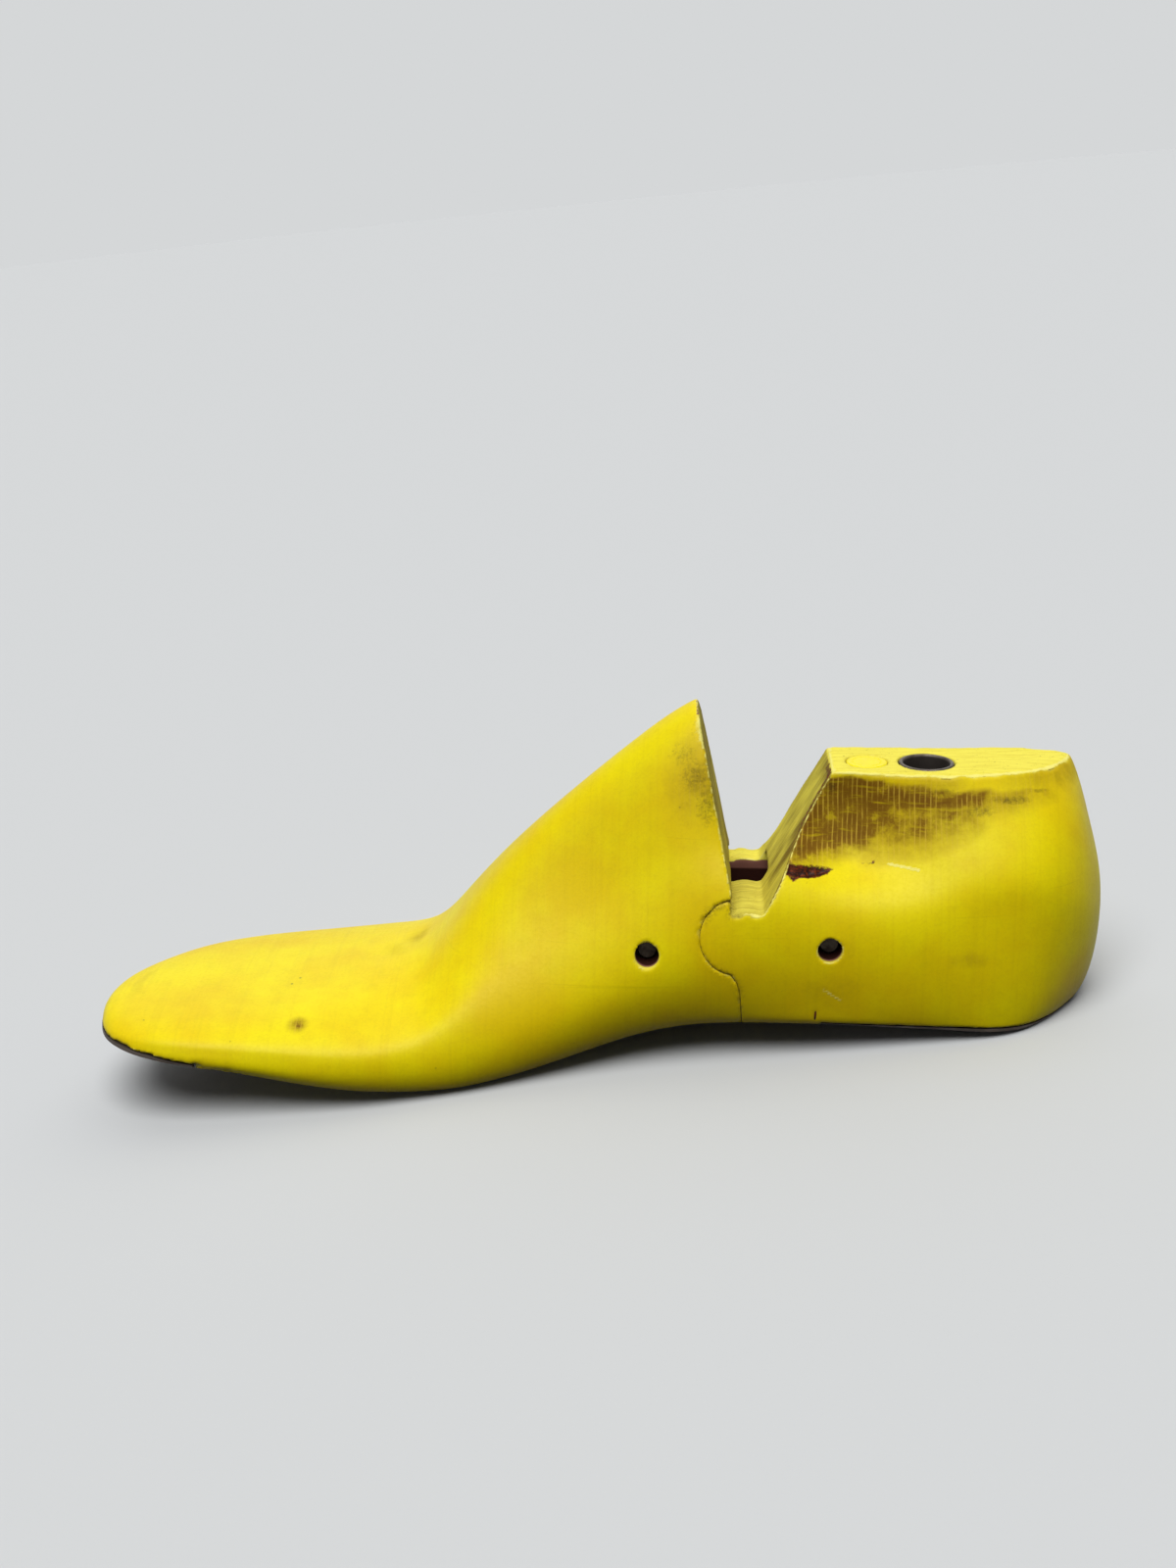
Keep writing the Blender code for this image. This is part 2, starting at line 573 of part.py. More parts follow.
def least_gap(points, radius, skip):
    """The smallest clear space between turns of one wire, measured on its points."""
    places = np.array(points)
    distance = np.linalg.norm(places[:, None] - places[None], axis=2)
    index = np.arange(len(places))
    distance[np.abs(index[:, None] - index[None]) < skip] = np.inf
    return distance.min() - 2 * radius


def make_link():
    """Two draw hooks that squeeze one spring: each is pinned at one end and passes through the
    coil, and its bent feet bear on the coil's far end."""
    front, rear = (Vector((x, 0.0, z)) * MM for x, z in (FRONT_PIN, REAR_PIN))
    tilt = Matrix.Rotation(-LINK_ANGLE, 4, "Y")
    front_place = Matrix.Translation(front) @ tilt
    rear_place = Matrix.Translation(rear) @ tilt @ Matrix.Rotation(math.pi, 4, "Z")
    spring_place = Matrix.Translation((front + rear) / 2) @ tilt
    clear = 2 * WIRE_RADIUS + GAP
    front_points = hook_points(LINK_LENGTH / 2 + SPRING_SPAN[1] + clear, -HOOK_OFFSET)
    rear_points = hook_points(LINK_LENGTH / 2 - SPRING_SPAN[0] + clear + LINK_STRETCH, -HOOK_OFFSET)
    add_part("front_hook", wire_mesh("front_hook", front_points, front_place), "hook_steel", front_link)
    add_part("rear_hook", wire_mesh("rear_hook", rear_points, rear_place), "hook_steel", rear_link)

    radius = 0.5 * SPRING_DIAMETER - WIRE_RADIUS
    count = SPRING_TURNS * POINTS_A_TURN
    coil = []
    for i in range(count + 1):
        angle = 2 * math.pi * i / POINTS_A_TURN
        x = SPRING_SPAN[0] + (SPRING_SPAN[1] - SPRING_SPAN[0]) * i / count
        coil.append((x, radius * math.cos(angle), radius * math.sin(angle)))
    print(f"link_spring least gap to itself {least_gap(coil, WIRE_RADIUS, POINTS_A_TURN // 2):.2f} mm")
    add_part("link_spring", wire_mesh("link_spring", coil, spring_place, 1), "spring_steel", front_link)


def lay_down():
    """Turn the last until it rests on its ball and heel, and put the middle of its base at the origin."""
    bpy.context.view_layer.update()
    depsgraph = bpy.context.evaluated_depsgraph_get()
    points = []
    for obj in parts.objects:
        if obj.type == "MESH":
            evaluated = obj.evaluated_get(depsgraph)
            points += [evaluated.matrix_world @ v.co for v in evaluated.data.vertices]
    places = np.array(points)
    ahead = places[places[:, 0] < 0.0]
    behind = places[places[:, 0] > 0.0]
    tilt = 0.0
    for _ in range(8):
        height = places[:, 0] * -math.sin(tilt) + places[:, 2] * math.cos(tilt)
        ball = ahead[np.argmin(height[places[:, 0] < 0.0])]
        heel = behind[np.argmin(height[places[:, 0] > 0.0])]
        tilt = math.atan2(heel[2] - ball[2], heel[0] - ball[0])
    turn = Matrix.Rotation(tilt, 4, "Y")
    turned = places @ np.array(turn.to_3x3()).T
    low, high = turned.min(axis=0), turned.max(axis=0)
    shift = Vector((-(low[0] + high[0]) / 2, -(low[1] + high[1]) / 2, -low[2]))
    last.matrix_world = Matrix.Translation(shift) @ turn
    print(f"rests at {math.degrees(tilt):.3f} degrees, size {np.round((high - low) * 1000, 2)} mm")
    for name, (x, z) in (("fold axis", (0.0, 0.0)), ("front pin", FRONT_PIN), ("rear pin", REAR_PIN)):
        place = last.matrix_world @ (Vector((x, 0.0, z)) * MM)
        print(name, [round(value, 6) for value in place])


clear_scene()
parts = new_collection("shoe_last")
cutters = new_collection("cutters")

last = empty("last_frame", 0.0, 0.0)
fold_axis = empty("fold_axis", 0.0, 0.0, last)
front_link = empty("front_link_axis", *FRONT_PIN, last)
rear_link = empty("rear_link_axis", *REAR_PIN, fold_axis)

make_bodies()
make_nails()
make_cone_fittings()
make_pins()
make_link()
lay_down()
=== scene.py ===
import json
import math

import bmesh
import bpy
import numpy as np
from mathutils import Matrix, Vector, kdtree, noise
from mathutils.bvhtree import BVHTree


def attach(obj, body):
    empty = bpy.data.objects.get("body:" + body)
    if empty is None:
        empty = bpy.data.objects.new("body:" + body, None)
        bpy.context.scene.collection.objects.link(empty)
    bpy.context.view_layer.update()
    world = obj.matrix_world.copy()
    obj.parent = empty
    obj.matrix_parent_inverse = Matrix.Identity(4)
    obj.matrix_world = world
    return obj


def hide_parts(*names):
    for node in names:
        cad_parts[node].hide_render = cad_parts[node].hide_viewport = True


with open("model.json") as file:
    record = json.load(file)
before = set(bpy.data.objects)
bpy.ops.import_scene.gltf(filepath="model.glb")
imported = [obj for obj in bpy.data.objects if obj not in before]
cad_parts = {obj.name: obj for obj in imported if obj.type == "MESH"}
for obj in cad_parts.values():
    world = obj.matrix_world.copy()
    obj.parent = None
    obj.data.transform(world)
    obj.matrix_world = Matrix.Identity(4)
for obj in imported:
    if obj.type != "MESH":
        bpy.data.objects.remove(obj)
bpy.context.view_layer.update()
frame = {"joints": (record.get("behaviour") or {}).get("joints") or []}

scene = bpy.context.scene

# the hinge: pins, knuckle and socket, the V's faces, the joint below them and the link's slot
hinge = {
    "pinArm": 24.4, "frontPinAngle": 192.5, "rearPinAngle": -7.24,
    "knuckle": 10.0, "socket": 10.08, "socketEnd": 258.8, "knuckleEnd": 260.1,
    "foreLip": (-1.6, 10.175), "foreFaceTop": (-15.2, 74.0), "floorHeight": 5.9, "stepX": -2.0,
    "slopeFoot": (6.6, 6.5), "slopeTop": (24.9, 38.5), "coneTop": 38.5,
    "below": ((0.0, -12.6), (0.8, -16.0), (2.0, -31.0)), "kerf": 0.11,
    "slotHalfWidth": 8.0, "slotHalfHeight": 7.0, "slotReach": 46.0, "swing": 20.0, "boreRadius": 3.2,
}
# the last's own frame lies where the fold and the front hook's joints are
joints = {joint["name"]: joint for joint in frame["joints"]}
foldPoint = Vector(joints["heel_fold"]["pos_m"])
frontReach = Vector(joints["front_hook_swing"]["pos_m"]) - foldPoint
tilt = math.radians(hinge["frontPinAngle"]) - math.atan2(frontReach.z, frontReach.x) % (2 * math.pi)
restPlace = Matrix.Translation(foldPoint) @ Matrix.Rotation(tilt, 4, "Y") @ Matrix.Scale(0.001, 4)


def onCircle(radius, degrees):
    return radius * math.cos(math.radians(degrees)), radius * math.sin(math.radians(degrees))


frontPin = onCircle(hinge["pinArm"], hinge["frontPinAngle"])
rearPin = onCircle(hinge["pinArm"], hinge["rearPinAngle"])
linkAngle = math.atan2(rearPin[1] - frontPin[1], rearPin[0] - frontPin[0])
linkLength = math.dist(frontPin, rearPin)
print("frame read, tilt", round(math.degrees(tilt), 3))


def meshObject(name, mesh):
    obj = bpy.data.objects.new(name, mesh)
    scene.collection.objects.link(obj)
    return obj


def plainMesh(obj):
    # what the modifiers make of an object, as a mesh of its own
    evaluated = obj.evaluated_get(bpy.context.evaluated_depsgraph_get())
    mesh = bpy.data.meshes.new_from_object(evaluated)
    bpy.data.objects.remove(obj)
    return mesh


def gridMesh(name, rings):
    # rings of points skinned to a closed tube with flat ends
    count, around = rings.shape[:2]
    faces = [list(range(around)), list(range((count - 1) * around, count * around))[::-1]]
    for i in range(count - 1):
        for j in range(around):
            k = (j + 1) % around
            faces.append((i * around + j, (i + 1) * around + j, (i + 1) * around + k, i * around + k))
    mesh = bpy.data.meshes.new(name)
    mesh.from_pydata(rings.reshape(-1, 3), [], faces)
    return cleaned(mesh)


def cleaned(mesh, distance=0.001):
    bm = bmesh.new()
    bm.from_mesh(mesh)
    bmesh.ops.remove_doubles(bm, verts=bm.verts, dist=distance)
    bmesh.ops.recalc_face_normals(bm, faces=bm.faces)
    bm.to_mesh(mesh)
    bm.free()
    return mesh


def slabMesh(name, outline, low, high):
    # an outline in X and Z made thick along Y
    ends = [[(x, y, z) for x, z in outline] for y in (low, high)]
    return gridMesh(name, np.array(ends))


def turnedMesh(name, profile, sides, place=Matrix.Identity(4)):
    # radius and height pairs turned about Z; a profile that starts and ends alike is a ring
    points, faces = [], []
    ring = profile[0] == profile[-1]
    rows = profile[:-1] if ring else profile
    angles = [2 * math.pi * i / sides for i in range(sides)]
    for radius, height in rows:
        points += [(radius * math.cos(a), radius * math.sin(a), height) for a in angles]
    steps = len(rows) if ring else len(rows) - 1
    for i in range(steps):
        j = (i + 1) % len(rows)
        for s in range(sides):
            t = (s + 1) % sides
            faces.append((i * sides + s, i * sides + t, j * sides + t, j * sides + s))
    mesh = bpy.data.meshes.new(name)
    mesh.from_pydata(points, [], faces)
    mesh.transform(place)
    return cleaned(mesh, 0.0005)


def arc(radius, start, end, count):
    return [onCircle(radius, degrees) for degrees in np.linspace(start, end, count)]


def cutBy(name, mesh, cutters, operation="DIFFERENCE"):
    obj = meshObject(name, mesh.copy())
    tools = [meshObject(cutter.name, cutter) for cutter in cutters]
    for tool in tools:
        modifier = obj.modifiers.new(tool.name, "BOOLEAN")
        modifier.operation = operation
        modifier.solver = "MANIFOLD"
        modifier.object = tool
    result = plainMesh(obj)
    for tool in tools:
        bpy.data.objects.remove(tool)
    return result


# the last's lines and sections
lastShape = {
    # x, ridge height, bottom height, ridge y, inner edge y, outer edge y
    "lines": (
        (-173.4, -29.4, -30.8, -19.0, -19.6, -18.4), (-172.4, -27.2, -33.4, -18.5, -27.0, -10.0),
        (-168.8, -25.0, -34.4, -17.0, -36.5, 3.0), (-162.0, -23.9, -34.6, -14.0, -43.0, 14.0),
        (-152.0, -22.8, -34.9, -11.0, -46.9, 24.0), (-136.0, -22.4, -36.0, -8.0, -48.35, 34.0),
        (-116.0, -21.2, -39.6, -5.0, -48.35, 41.5), (-98.0, -18.6, -42.2, -4.0, -47.5, 45.5),
        (-85.0, -13.8, -43.1, -4.0, -45.5, 47.0), (-75.0, -2.6, -43.2, -4.0, -43.8, 47.3),
        (-64.0, 11.0, -42.0, -4.0, -41.5, 46.8), (-46.0, 28.8, -37.8, -3.5, -38.0, 44.5),
        (-28.0, 44.2, -32.4, -2.5, -36.0, 41.0), (-10.0, 56.2, -28.9, -1.0, -35.5, 38.0),
        (6.0, 58.0, -27.2, 0.5, -35.5, 36.0), (24.0, 50.0, -26.4, 1.5, -34.5, 34.5),
        (45.0, 46.0, -27.9, 1.5, -33.5, 33.5), (64.0, 46.0, -29.3, 2.0, -31.5, 32.0),
        (80.0, 46.0, -30.3, 5.0, -26.8, 27.8), (89.6, 40.0, -30.0, 9.5, -19.8, 20.8),
        (95.8, 24.0, -25.6, 6.5, -12.8, 13.8), (99.2, 10.0, -14.5, 2.5, -5.6, 6.6),
        (100.2, -0.5, -3.0, 0.5, -0.3, 1.3)),
    # shares of the height down from the ridge, then the half breadths there: x, inner side, outer side
    "levels": (0.05, 0.20, 0.40, 0.52, 0.75, 0.93, 0.985),
    "sections": (
        (-176.0, (0.40, 0.75, 0.935, 0.975, 1.0, 0.96, 0.89), (0.40, 0.71, 0.895, 0.955, 1.0, 0.97, 0.90)),
        (-110.0, (0.40, 0.755, 0.945, 0.985, 1.0, 0.955, 0.87), (0.42, 0.72, 0.90, 0.96, 1.0, 0.97, 0.89)),
        (-84.0, (0.31, 0.60, 0.87, 0.96, 1.0, 0.955, 0.85), (0.36, 0.62, 0.84, 0.93, 1.0, 0.965, 0.86)),
        (-60.0, (0.23, 0.44, 0.70, 0.85, 1.0, 0.955, 0.82), (0.22, 0.40, 0.62, 0.76, 0.98, 0.96, 0.83)),
        (-34.0, (0.22, 0.42, 0.64, 0.80, 1.0, 0.92, 0.77), (0.19, 0.33, 0.50, 0.64, 0.97, 0.95, 0.82)),
        (-8.0, (0.26, 0.49, 0.70, 0.86, 1.0, 0.91, 0.77), (0.21, 0.29, 0.33, 0.35, 0.83, 0.95, 0.83)),
        (22.0, (0.25, 0.32, 0.50, 0.86, 1.0, 0.97, 0.91), (0.31, 0.34, 0.36, 0.38, 0.83, 0.97, 0.90)),
        (58.0, (0.30, 0.505, 0.80, 0.92, 1.0, 0.98, 0.90), (0.34, 0.43, 0.61, 0.76, 0.98, 0.98, 0.90)),
        (80.0, (0.19, 0.535, 0.875, 0.955, 1.0, 0.97, 0.85), (0.31, 0.545, 0.82, 0.93, 1.0, 0.97, 0.85)),
        (90.0, (0.22, 0.64, 0.93, 1.0, 0.99, 0.85, 0.58), (0.28, 0.57, 0.89, 1.0, 0.99, 0.85, 0.58)),
        (101.0, (0.44, 0.80, 0.98, 1.0, 0.92, 0.62, 0.32), (0.44, 0.80, 0.98, 1.0, 0.92, 0.62, 0.32))),
    "rings": 300, "around": 176,
}


def splineThrough(knots, rows):
    # natural cubic through rows of values
    knots, rows = np.asarray(knots, float), np.asarray(rows, float)
    step, count = np.diff(knots), len(knots)
    system, bend = np.eye(count), np.zeros_like(rows)
    for i in range(1, count - 1):
        system[i, i - 1:i + 2] = step[i - 1], 2 * (step[i - 1] + step[i]), step[i]
        bend[i] = 6 * ((rows[i + 1] - rows[i]) / step[i] - (rows[i] - rows[i - 1]) / step[i - 1])
    bend = np.linalg.solve(system, bend)

    def at(values):
        values = np.atleast_1d(values)
        k = np.clip(np.searchsorted(knots, values) - 1, 0, count - 2)
        width = step[k][:, None]
        left, right = (knots[k + 1] - values)[:, None], (values - knots[k])[:, None]
        curve = (bend[k] * left ** 3 + bend[k + 1] * right ** 3) / (6 * width)
        line = (rows[k] / width - bend[k] * width / 6) * left
        return curve + line + (rows[k + 1] / width - bend[k + 1] * width / 6) * right

    return at


def sectionRing(station, inner, outer):
    x, ridge, bottom, ridgeY, innerY, outerY = station
    heights = ridge - np.array(lastShape["levels"]) * (ridge - bottom)
    innerSide = np.stack((ridgeY + (innerY - ridgeY) * inner, heights), axis=1)
    outerSide = np.stack((ridgeY + (outerY - ridgeY) * outer, heights), axis=1)
    sole = ((0.3 * (innerY + outerY) + 0.4 * ridgeY, bottom),)
    points = np.concatenate((((ridgeY, ridge),), innerSide, sole, outerSide[::-1], ((ridgeY, ridge),)))
    chord = np.sqrt(np.linalg.norm(np.diff(points, axis=0), axis=1) + 1e-6)
    knots = np.concatenate(((0.0,), np.cumsum(chord)))
    wrapped = np.concatenate((points[-4:-1], points, points[1:4]))
    wrappedKnots = np.concatenate((knots[-4:-1] - knots[-1], knots, knots[1:4] + knots[-1]))
    ring = splineThrough(wrappedKnots, wrapped)(np.linspace(0.0, knots[-1], lastShape["around"], endpoint=False))
    return [(x, y, z) for y, z in ring]


def blankMesh():
    # the whole last before it is sawn
    lines = np.array(lastShape["lines"])
    height, breadth = lines[:, 1] - lines[:, 2], lines[:, 5] - lines[:, 4]
    steps = np.sqrt(np.diff(lines[:, 0]) ** 2 + 0.5 * np.diff(height) ** 2 + 0.5 * np.diff(breadth) ** 2)
    knots = np.concatenate(((0.0,), np.cumsum(steps)))
    stations = splineThrough(knots, lines)(np.linspace(0.0, knots[-1], lastShape["rings"]))
    sections = lastShape["sections"]
    widths = splineThrough([row[0] for row in sections], [row[1] + row[2] for row in sections])(stations[:, 0])
    return gridMesh("blank", np.array([sectionRing(s, w[:7], w[7:]) for s, w in zip(stations, widths)]))


# where the saw went, as outlines in X and Z
saw = {"reach": 110.0, "top": 90.0, "plateThickness": 1.0, "gap": 0.3}
plates = {
    "heelLine": ((22.5, -25.7), (80.0, -27.7), (86.0, -27.6), (91.0, -27.0), (96.0, -25.8), (102.0, -23.8)),
    "toeLine": ((-176.0, -30.9), (-165.0, -31.4), (-155.0, -32.3), (-143.0, -34.1)),
    "heelNails": ((29.0, -20.0), (29.0, 20.0), (46.0, 0.0), (58.0, -21.0), (58.0, 21.0), (80.0, -12.0),
                  (80.0, 12.0)),
    "toeNails": ((-150.0, -31.0), (-150.0, -12.0), (-150.0, 7.0), (-161.0, -25.0), (-161.0, -7.0)),
    "headDiameter": 4.2, "headDepth": 1.1, "shankDiameter": 1.8, "heelNailLength": 15.0, "toeNailLength": 5.0,
}


def foreCutOutline():
    lip = math.degrees(math.atan2(hinge["foreLip"][1], hinge["foreLip"][0]))
    socket = arc(hinge["socket"], lip, hinge["socketEnd"], 72)
    below = list(hinge["below"]) + [(hinge["below"][-1][0], -saw["reach"])]
    behind = [(1.2 * saw["reach"], -saw["reach"]), (1.2 * saw["reach"], hinge["foreFaceTop"][1])]
    return [hinge["foreFaceTop"]] + socket + below + behind


def heelCutOutline():
    stepAngle = math.degrees(math.acos(hinge["stepX"] / hinge["knuckle"]))
    (footX, footZ), (topX, topZ) = hinge["slopeFoot"], hinge["slopeTop"]
    slopeEnd = (footX + (topX - footX) / (topZ - footZ) * (saw["top"] - footZ), saw["top"])
    height = hinge["floorHeight"]
    floor = [hinge["slopeFoot"], (5.6, height + 0.55), (4.4, height + 0.85), (2.8, height + 1.05),
             (1.0, height + 1.0), (-0.6, height + 0.6), (hinge["stepX"], height)]
    knuckle = arc(hinge["knuckle"], stepAngle, hinge["knuckleEnd"], 80)
    below = [(x + hinge["kerf"], z) for x, z in hinge["below"]]
    below.append((below[-1][0], -saw["reach"]))
    ahead = [(-2 * saw["reach"], -saw["reach"]), (-2 * saw["reach"], saw["top"])]
    return [slopeEnd] + floor + knuckle + below + ahead


def slotOutline(pin, rest, folded):
    # the fan that the link sweeps
    low, high = sorted((rest, folded))
    half = hinge["slotHalfHeight"]
    fan = [(pin[0] + x, pin[1] + z) for x, z in arc(half, math.degrees(high) + 90, math.degrees(low) + 270, 24)]
    for angle, side in ((low, -half), (high, half)):
        x = pin[0] + hinge["slotReach"] * math.cos(angle) - side * math.sin(angle)
        fan.append((x, pin[1] + hinge["slotReach"] * math.sin(angle) + side * math.cos(angle)))
    return fan


def plateBand(line, low, high):
    return [(x, z + low) for x, z in line] + [(x, z + high) for x, z in reversed(line)]


def lineHeight(line, x):
    return float(np.interp(x, [p[0] for p in line], [p[1] for p in line]))


def nailPlace(line, x, y):
    lean = math.atan2(lineHeight(line, x + 1) - lineHeight(line, x - 1), 2.0)
    return Matrix.Translation((x, y, lineHeight(line, x) + 0.05)) @ Matrix.Rotation(-lean, 4, "Y")


def boreMesh(name, radius, start, end, sides=64):
    start, end = Vector(start), Vector(end)
    turn = (end - start).to_track_quat("Z", "Y").to_matrix().to_4x4()
    length = (end - start).length
    profile = [(0.0, length), (radius, length), (radius, 0.0), (0.0, 0.0)]
    return turnedMesh(name, profile, sides, Matrix.Translation(start) @ turn)


# the fittings of the cone, and the cross pins
fittings = {
    "thimbleX": 50.8, "thimbleOuter": 15.0, "thimbleInner": 12.5, "thimbleLength": 42.0,
    "plugX": 34.7, "plugDiameter": 11.0, "plugLength": 8.0,
    "pinDiameter": 5.8, "frontPinSpan": (-29.5, 28.0), "rearPinSpan": (-29.0, 22.0),
}
reach, gap = saw["reach"], saw["gap"]
slotHalf = hinge["slotHalfWidth"]
swing = math.radians(hinge["swing"])
coneTop = hinge["coneTop"]
blank = blankMesh()
foreSharp = cutBy("foreSharp", blank, [
    slabMesh("foreSaw", foreCutOutline(), -reach, reach),
    slabMesh("foreSlot", slotOutline(frontPin, linkAngle, linkAngle + swing), -slotHalf, slotHalf),
    boreMesh("foreBore", hinge["boreRadius"], (frontPin[0], -reach, frontPin[1]), (frontPin[0], reach, frontPin[1])),
    slabMesh("toeSeat", plateBand(plates["toeLine"], -20.0, saw["plateThickness"] + gap), -reach, reach)])
thimbleRadius = 0.5 * fittings["thimbleOuter"] + gap
plugRadius = 0.5 * fittings["plugDiameter"] + gap
heelSharp = cutBy("heelSharp", blank, [
    slabMesh("heelSaw", heelCutOutline(), -reach, reach),
    slabMesh("heelSlot", slotOutline(rearPin, linkAngle + math.pi, linkAngle + math.pi - swing), -slotHalf, slotHalf),
    boreMesh("heelBore", hinge["boreRadius"], (rearPin[0], -reach, rearPin[1]), (rearPin[0], reach, rearPin[1])),
    slabMesh("conePlane", [(0.0, coneTop), (reach, coneTop), (reach, saw["top"]), (0.0, saw["top"])], -reach, reach),
    boreMesh("thimbleBore", thimbleRadius, (fittings["thimbleX"], 0, coneTop - fittings["thimbleLength"] - 1),
             (fittings["thimbleX"], 0, coneTop + 5)),
    boreMesh("plugBore", plugRadius, (fittings["plugX"], 0, coneTop - fittings["plugLength"] - 0.5),
             (fittings["plugX"], 0, coneTop + 5)),
    slabMesh("heelSeat", plateBand(plates["heelLine"], -20.0, saw["plateThickness"] + gap), -reach, reach)])
print("sawn", len(foreSharp.polygons), len(heelSharp.polygons))

# how the two bodies are worn, in millimetres: the even skin's faces, how deep each kind of edge is rubbed,
# how deep marks go in, and where a mask begins and is full
bodyWear = {
    "foreSkin": 0.76, "heelSkin": 0.645, "sharpAngle": 28.0, "spacing": 0.15, "least": 0.03,
    "jointEdge": 0.05, "slotEdge": 0.20, "boreEdge": 0.11, "sawnRim": 0.18, "tipEdge": 0.45, "coneRim": 0.50,
    "seatEdge": 0.08, "floorEdge": 0.12, "floorRim": 0.6, "farRim": 0.35, "floorSlot": 0.35,
    "gashDepth": 1.3, "notchDepth": 0.6, "scratchDepth": 0.12, "tickDepth": 0.25, "chipDepth": 0.9,
    "jointWave": 0.03, "sawnFrom": (0.04, 0.35), "slotFrom": (0.05, 0.6), "boreFrom": (0.4, 2.6),
    "jointDirt": (0.1, 2.2),
}
blankFaces = BVHTree.FromPolygons([v.co for v in blank.vertices], [p.vertices for p in blank.polygons])


def noiseAt(points, size, seed=0.0):
    # smooth noise from -1 to 1 whose lumps are about this many mm across
    shift = Vector((seed, 1.7 * seed, -seed))
    return np.array([noise.noise(Vector(point) / size + shift) for point in points])


def smoothStep(low, high, values):
    t = np.clip((values - low) / (high - low), 0.0, 1.0)
    return t * t * (3 - 2 * t)


def pointsOf(mesh):
    points = np.empty(len(mesh.vertices) * 3)
    mesh.vertices.foreach_get("co", points)
    return points.reshape(-1, 3)


def relaxed(points, edges, weight, rounds):
    # each point moves towards the middle of its neighbours by its own weight
    count = np.maximum(np.bincount(edges.ravel(), minlength=len(points)), 1)[:, None]
    for _ in range(rounds):
        total = np.zeros_like(points)
        np.add.at(total, edges[:, 0], points[edges[:, 1]])
        np.add.at(total, edges[:, 1], points[edges[:, 0]])
        points = points + weight[:, None] * (total / count - points)
    return points


def sharpEdges(mesh):
    # points along the sharp edges, the way out of each edge, and whether it stands proud
    bm = bmesh.new()
    bm.from_mesh(mesh)
    places, ways, proud = [], [], []
    for edge in bm.edges:
        if edge.calc_face_angle(0.0) > math.radians(bodyWear["sharpAngle"]):
            start, end = (vertex.co for vertex in edge.verts)
            way = (edge.link_faces[0].normal + edge.link_faces[1].normal).normalized()
            steps = max(1, round((end - start).length / bodyWear["spacing"]))
            places += [tuple(start.lerp(end, i / steps)) for i in range(steps + 1)]
            ways += [tuple(way)] * (steps + 1)
            proud += [edge.is_convex] * (steps + 1)
    bm.free()
    return np.array(places), np.array(ways), np.array(proud)


def evenSkin(sharp, size):
    # the sawn body again with faces of one size, its points back on the sawn faces and edges
    obj = meshObject("skin", sharp.copy())
    even = obj.modifiers.new("even", "REMESH")
    even.mode = "VOXEL"
    even.voxel_size = size
    skin = plainMesh(obj)
    edges = np.array([edge.vertices[:] for edge in skin.edges])
    faces = BVHTree.FromPolygons([v.co for v in sharp.vertices], [p.vertices for p in sharp.polygons])
    places, ways, proud = sharpEdges(sharp)
    tree = kdtree.KDTree(len(places))
    for i, place in enumerate(places):
        tree.insert(place, i)
    tree.balance()
    points = np.array([faces.find_nearest(point)[0] for point in pointsOf(skin)])
    nearest = [tree.find(point)[1:] for point in points]
    edgeIndex = np.array([item[0] for item in nearest])
    away = np.array([item[1] for item in nearest])
    held = away < 0.46 * size
    points[held] = places[edgeIndex[held]]
    loose = np.where(held | (away > 3.0 * size), 0.0, 0.5)
    for _ in range(2):
        points = relaxed(points, edges, loose, 2)
        moved = np.nonzero(loose)[0]
        points[moved] = [faces.find_nearest(points[i])[0] for i in moved]
    return {"mesh": skin, "edges": edges, "points": points, "place": places[edgeIndex], "way": ways[edgeIndex],
            "proud": proud[edgeIndex], "away": away, "size": size}


def setPoints(skin, points):
    skin["points"] = points
    skin["mesh"].vertices.foreach_set("co", points.ravel())
    skin["mesh"].update()


def rubEdges(skin, depth):
    # the proud edges are planed back by their own depth, then eased, and what that leaves is noted
    depth = np.maximum(depth, bodyWear["least"])
    points = skin["points"]
    height = np.einsum("ij,ij->i", points - skin["place"], skin["way"])
    near = skin["proud"] & (skin["away"] < 2.0 * depth + 0.2)
    over = np.where(near, np.maximum(height + depth, 0.0), 0.0)
    points = points - over[:, None] * skin["way"]
    eased = np.where(skin["away"] < 2.2 * depth + 0.5 * skin["size"], np.clip(depth * 1.6, 0.0, 0.5), 0.0)
    setPoints(skin, relaxed(points, skin["edges"], eased, 2))
    worn = 1.0 - smoothStep(0.3, 1.0, skin["away"] / (1.2 * depth + 0.3))
    skin["worn"] = np.where(skin["proud"], worn, 0.0)
    # how deep each point lies under the turned skin
    skin["under"] = np.array([blankFaces.find_nearest(point)[3] for point in skin["points"]])
    skin["sawn"] = smoothStep(*bodyWear["sawnFrom"], skin["under"])


def raisePoints(skin, height):
    # moves each point out along its normal
    normals = np.empty(len(height) * 3, np.float32)
    skin["mesh"].vertex_normals.foreach_get("vector", normals)
    setPoints(skin, skin["points"] + normals.reshape(-1, 3).astype(float) * height[:, None])


def addMasks(mesh, **masks):
    # values from 0 to 1 on the points, which the materials read by name
    for name, values in masks.items():
        attribute = mesh.attributes.new(name, "FLOAT", "POINT")
        attribute.data.foreach_set("value", np.clip(values, 0.0, 1.0).astype(np.float32))


def patch(points, marks):
    # soft blots: x, y, z of the middle, three half sizes, strength
    total = np.zeros(len(points))
    for x, y, z, sizeX, sizeY, sizeZ, strength in marks:
        spread = ((points - (x, y, z)) / (sizeX, sizeY, sizeZ)) ** 2
        total = np.maximum(total, strength * np.exp(-spread.sum(axis=1)))
    return total


def awayFromLine(points, start, end):
    # how far points lie from the line between two others
    start, along = np.array(start), np.array(end) - np.array(start)
    share = np.clip((points - start) @ along / (along @ along), 0.0, 1.0)
    return np.linalg.norm(points - start - share[:, None] * along, axis=1)


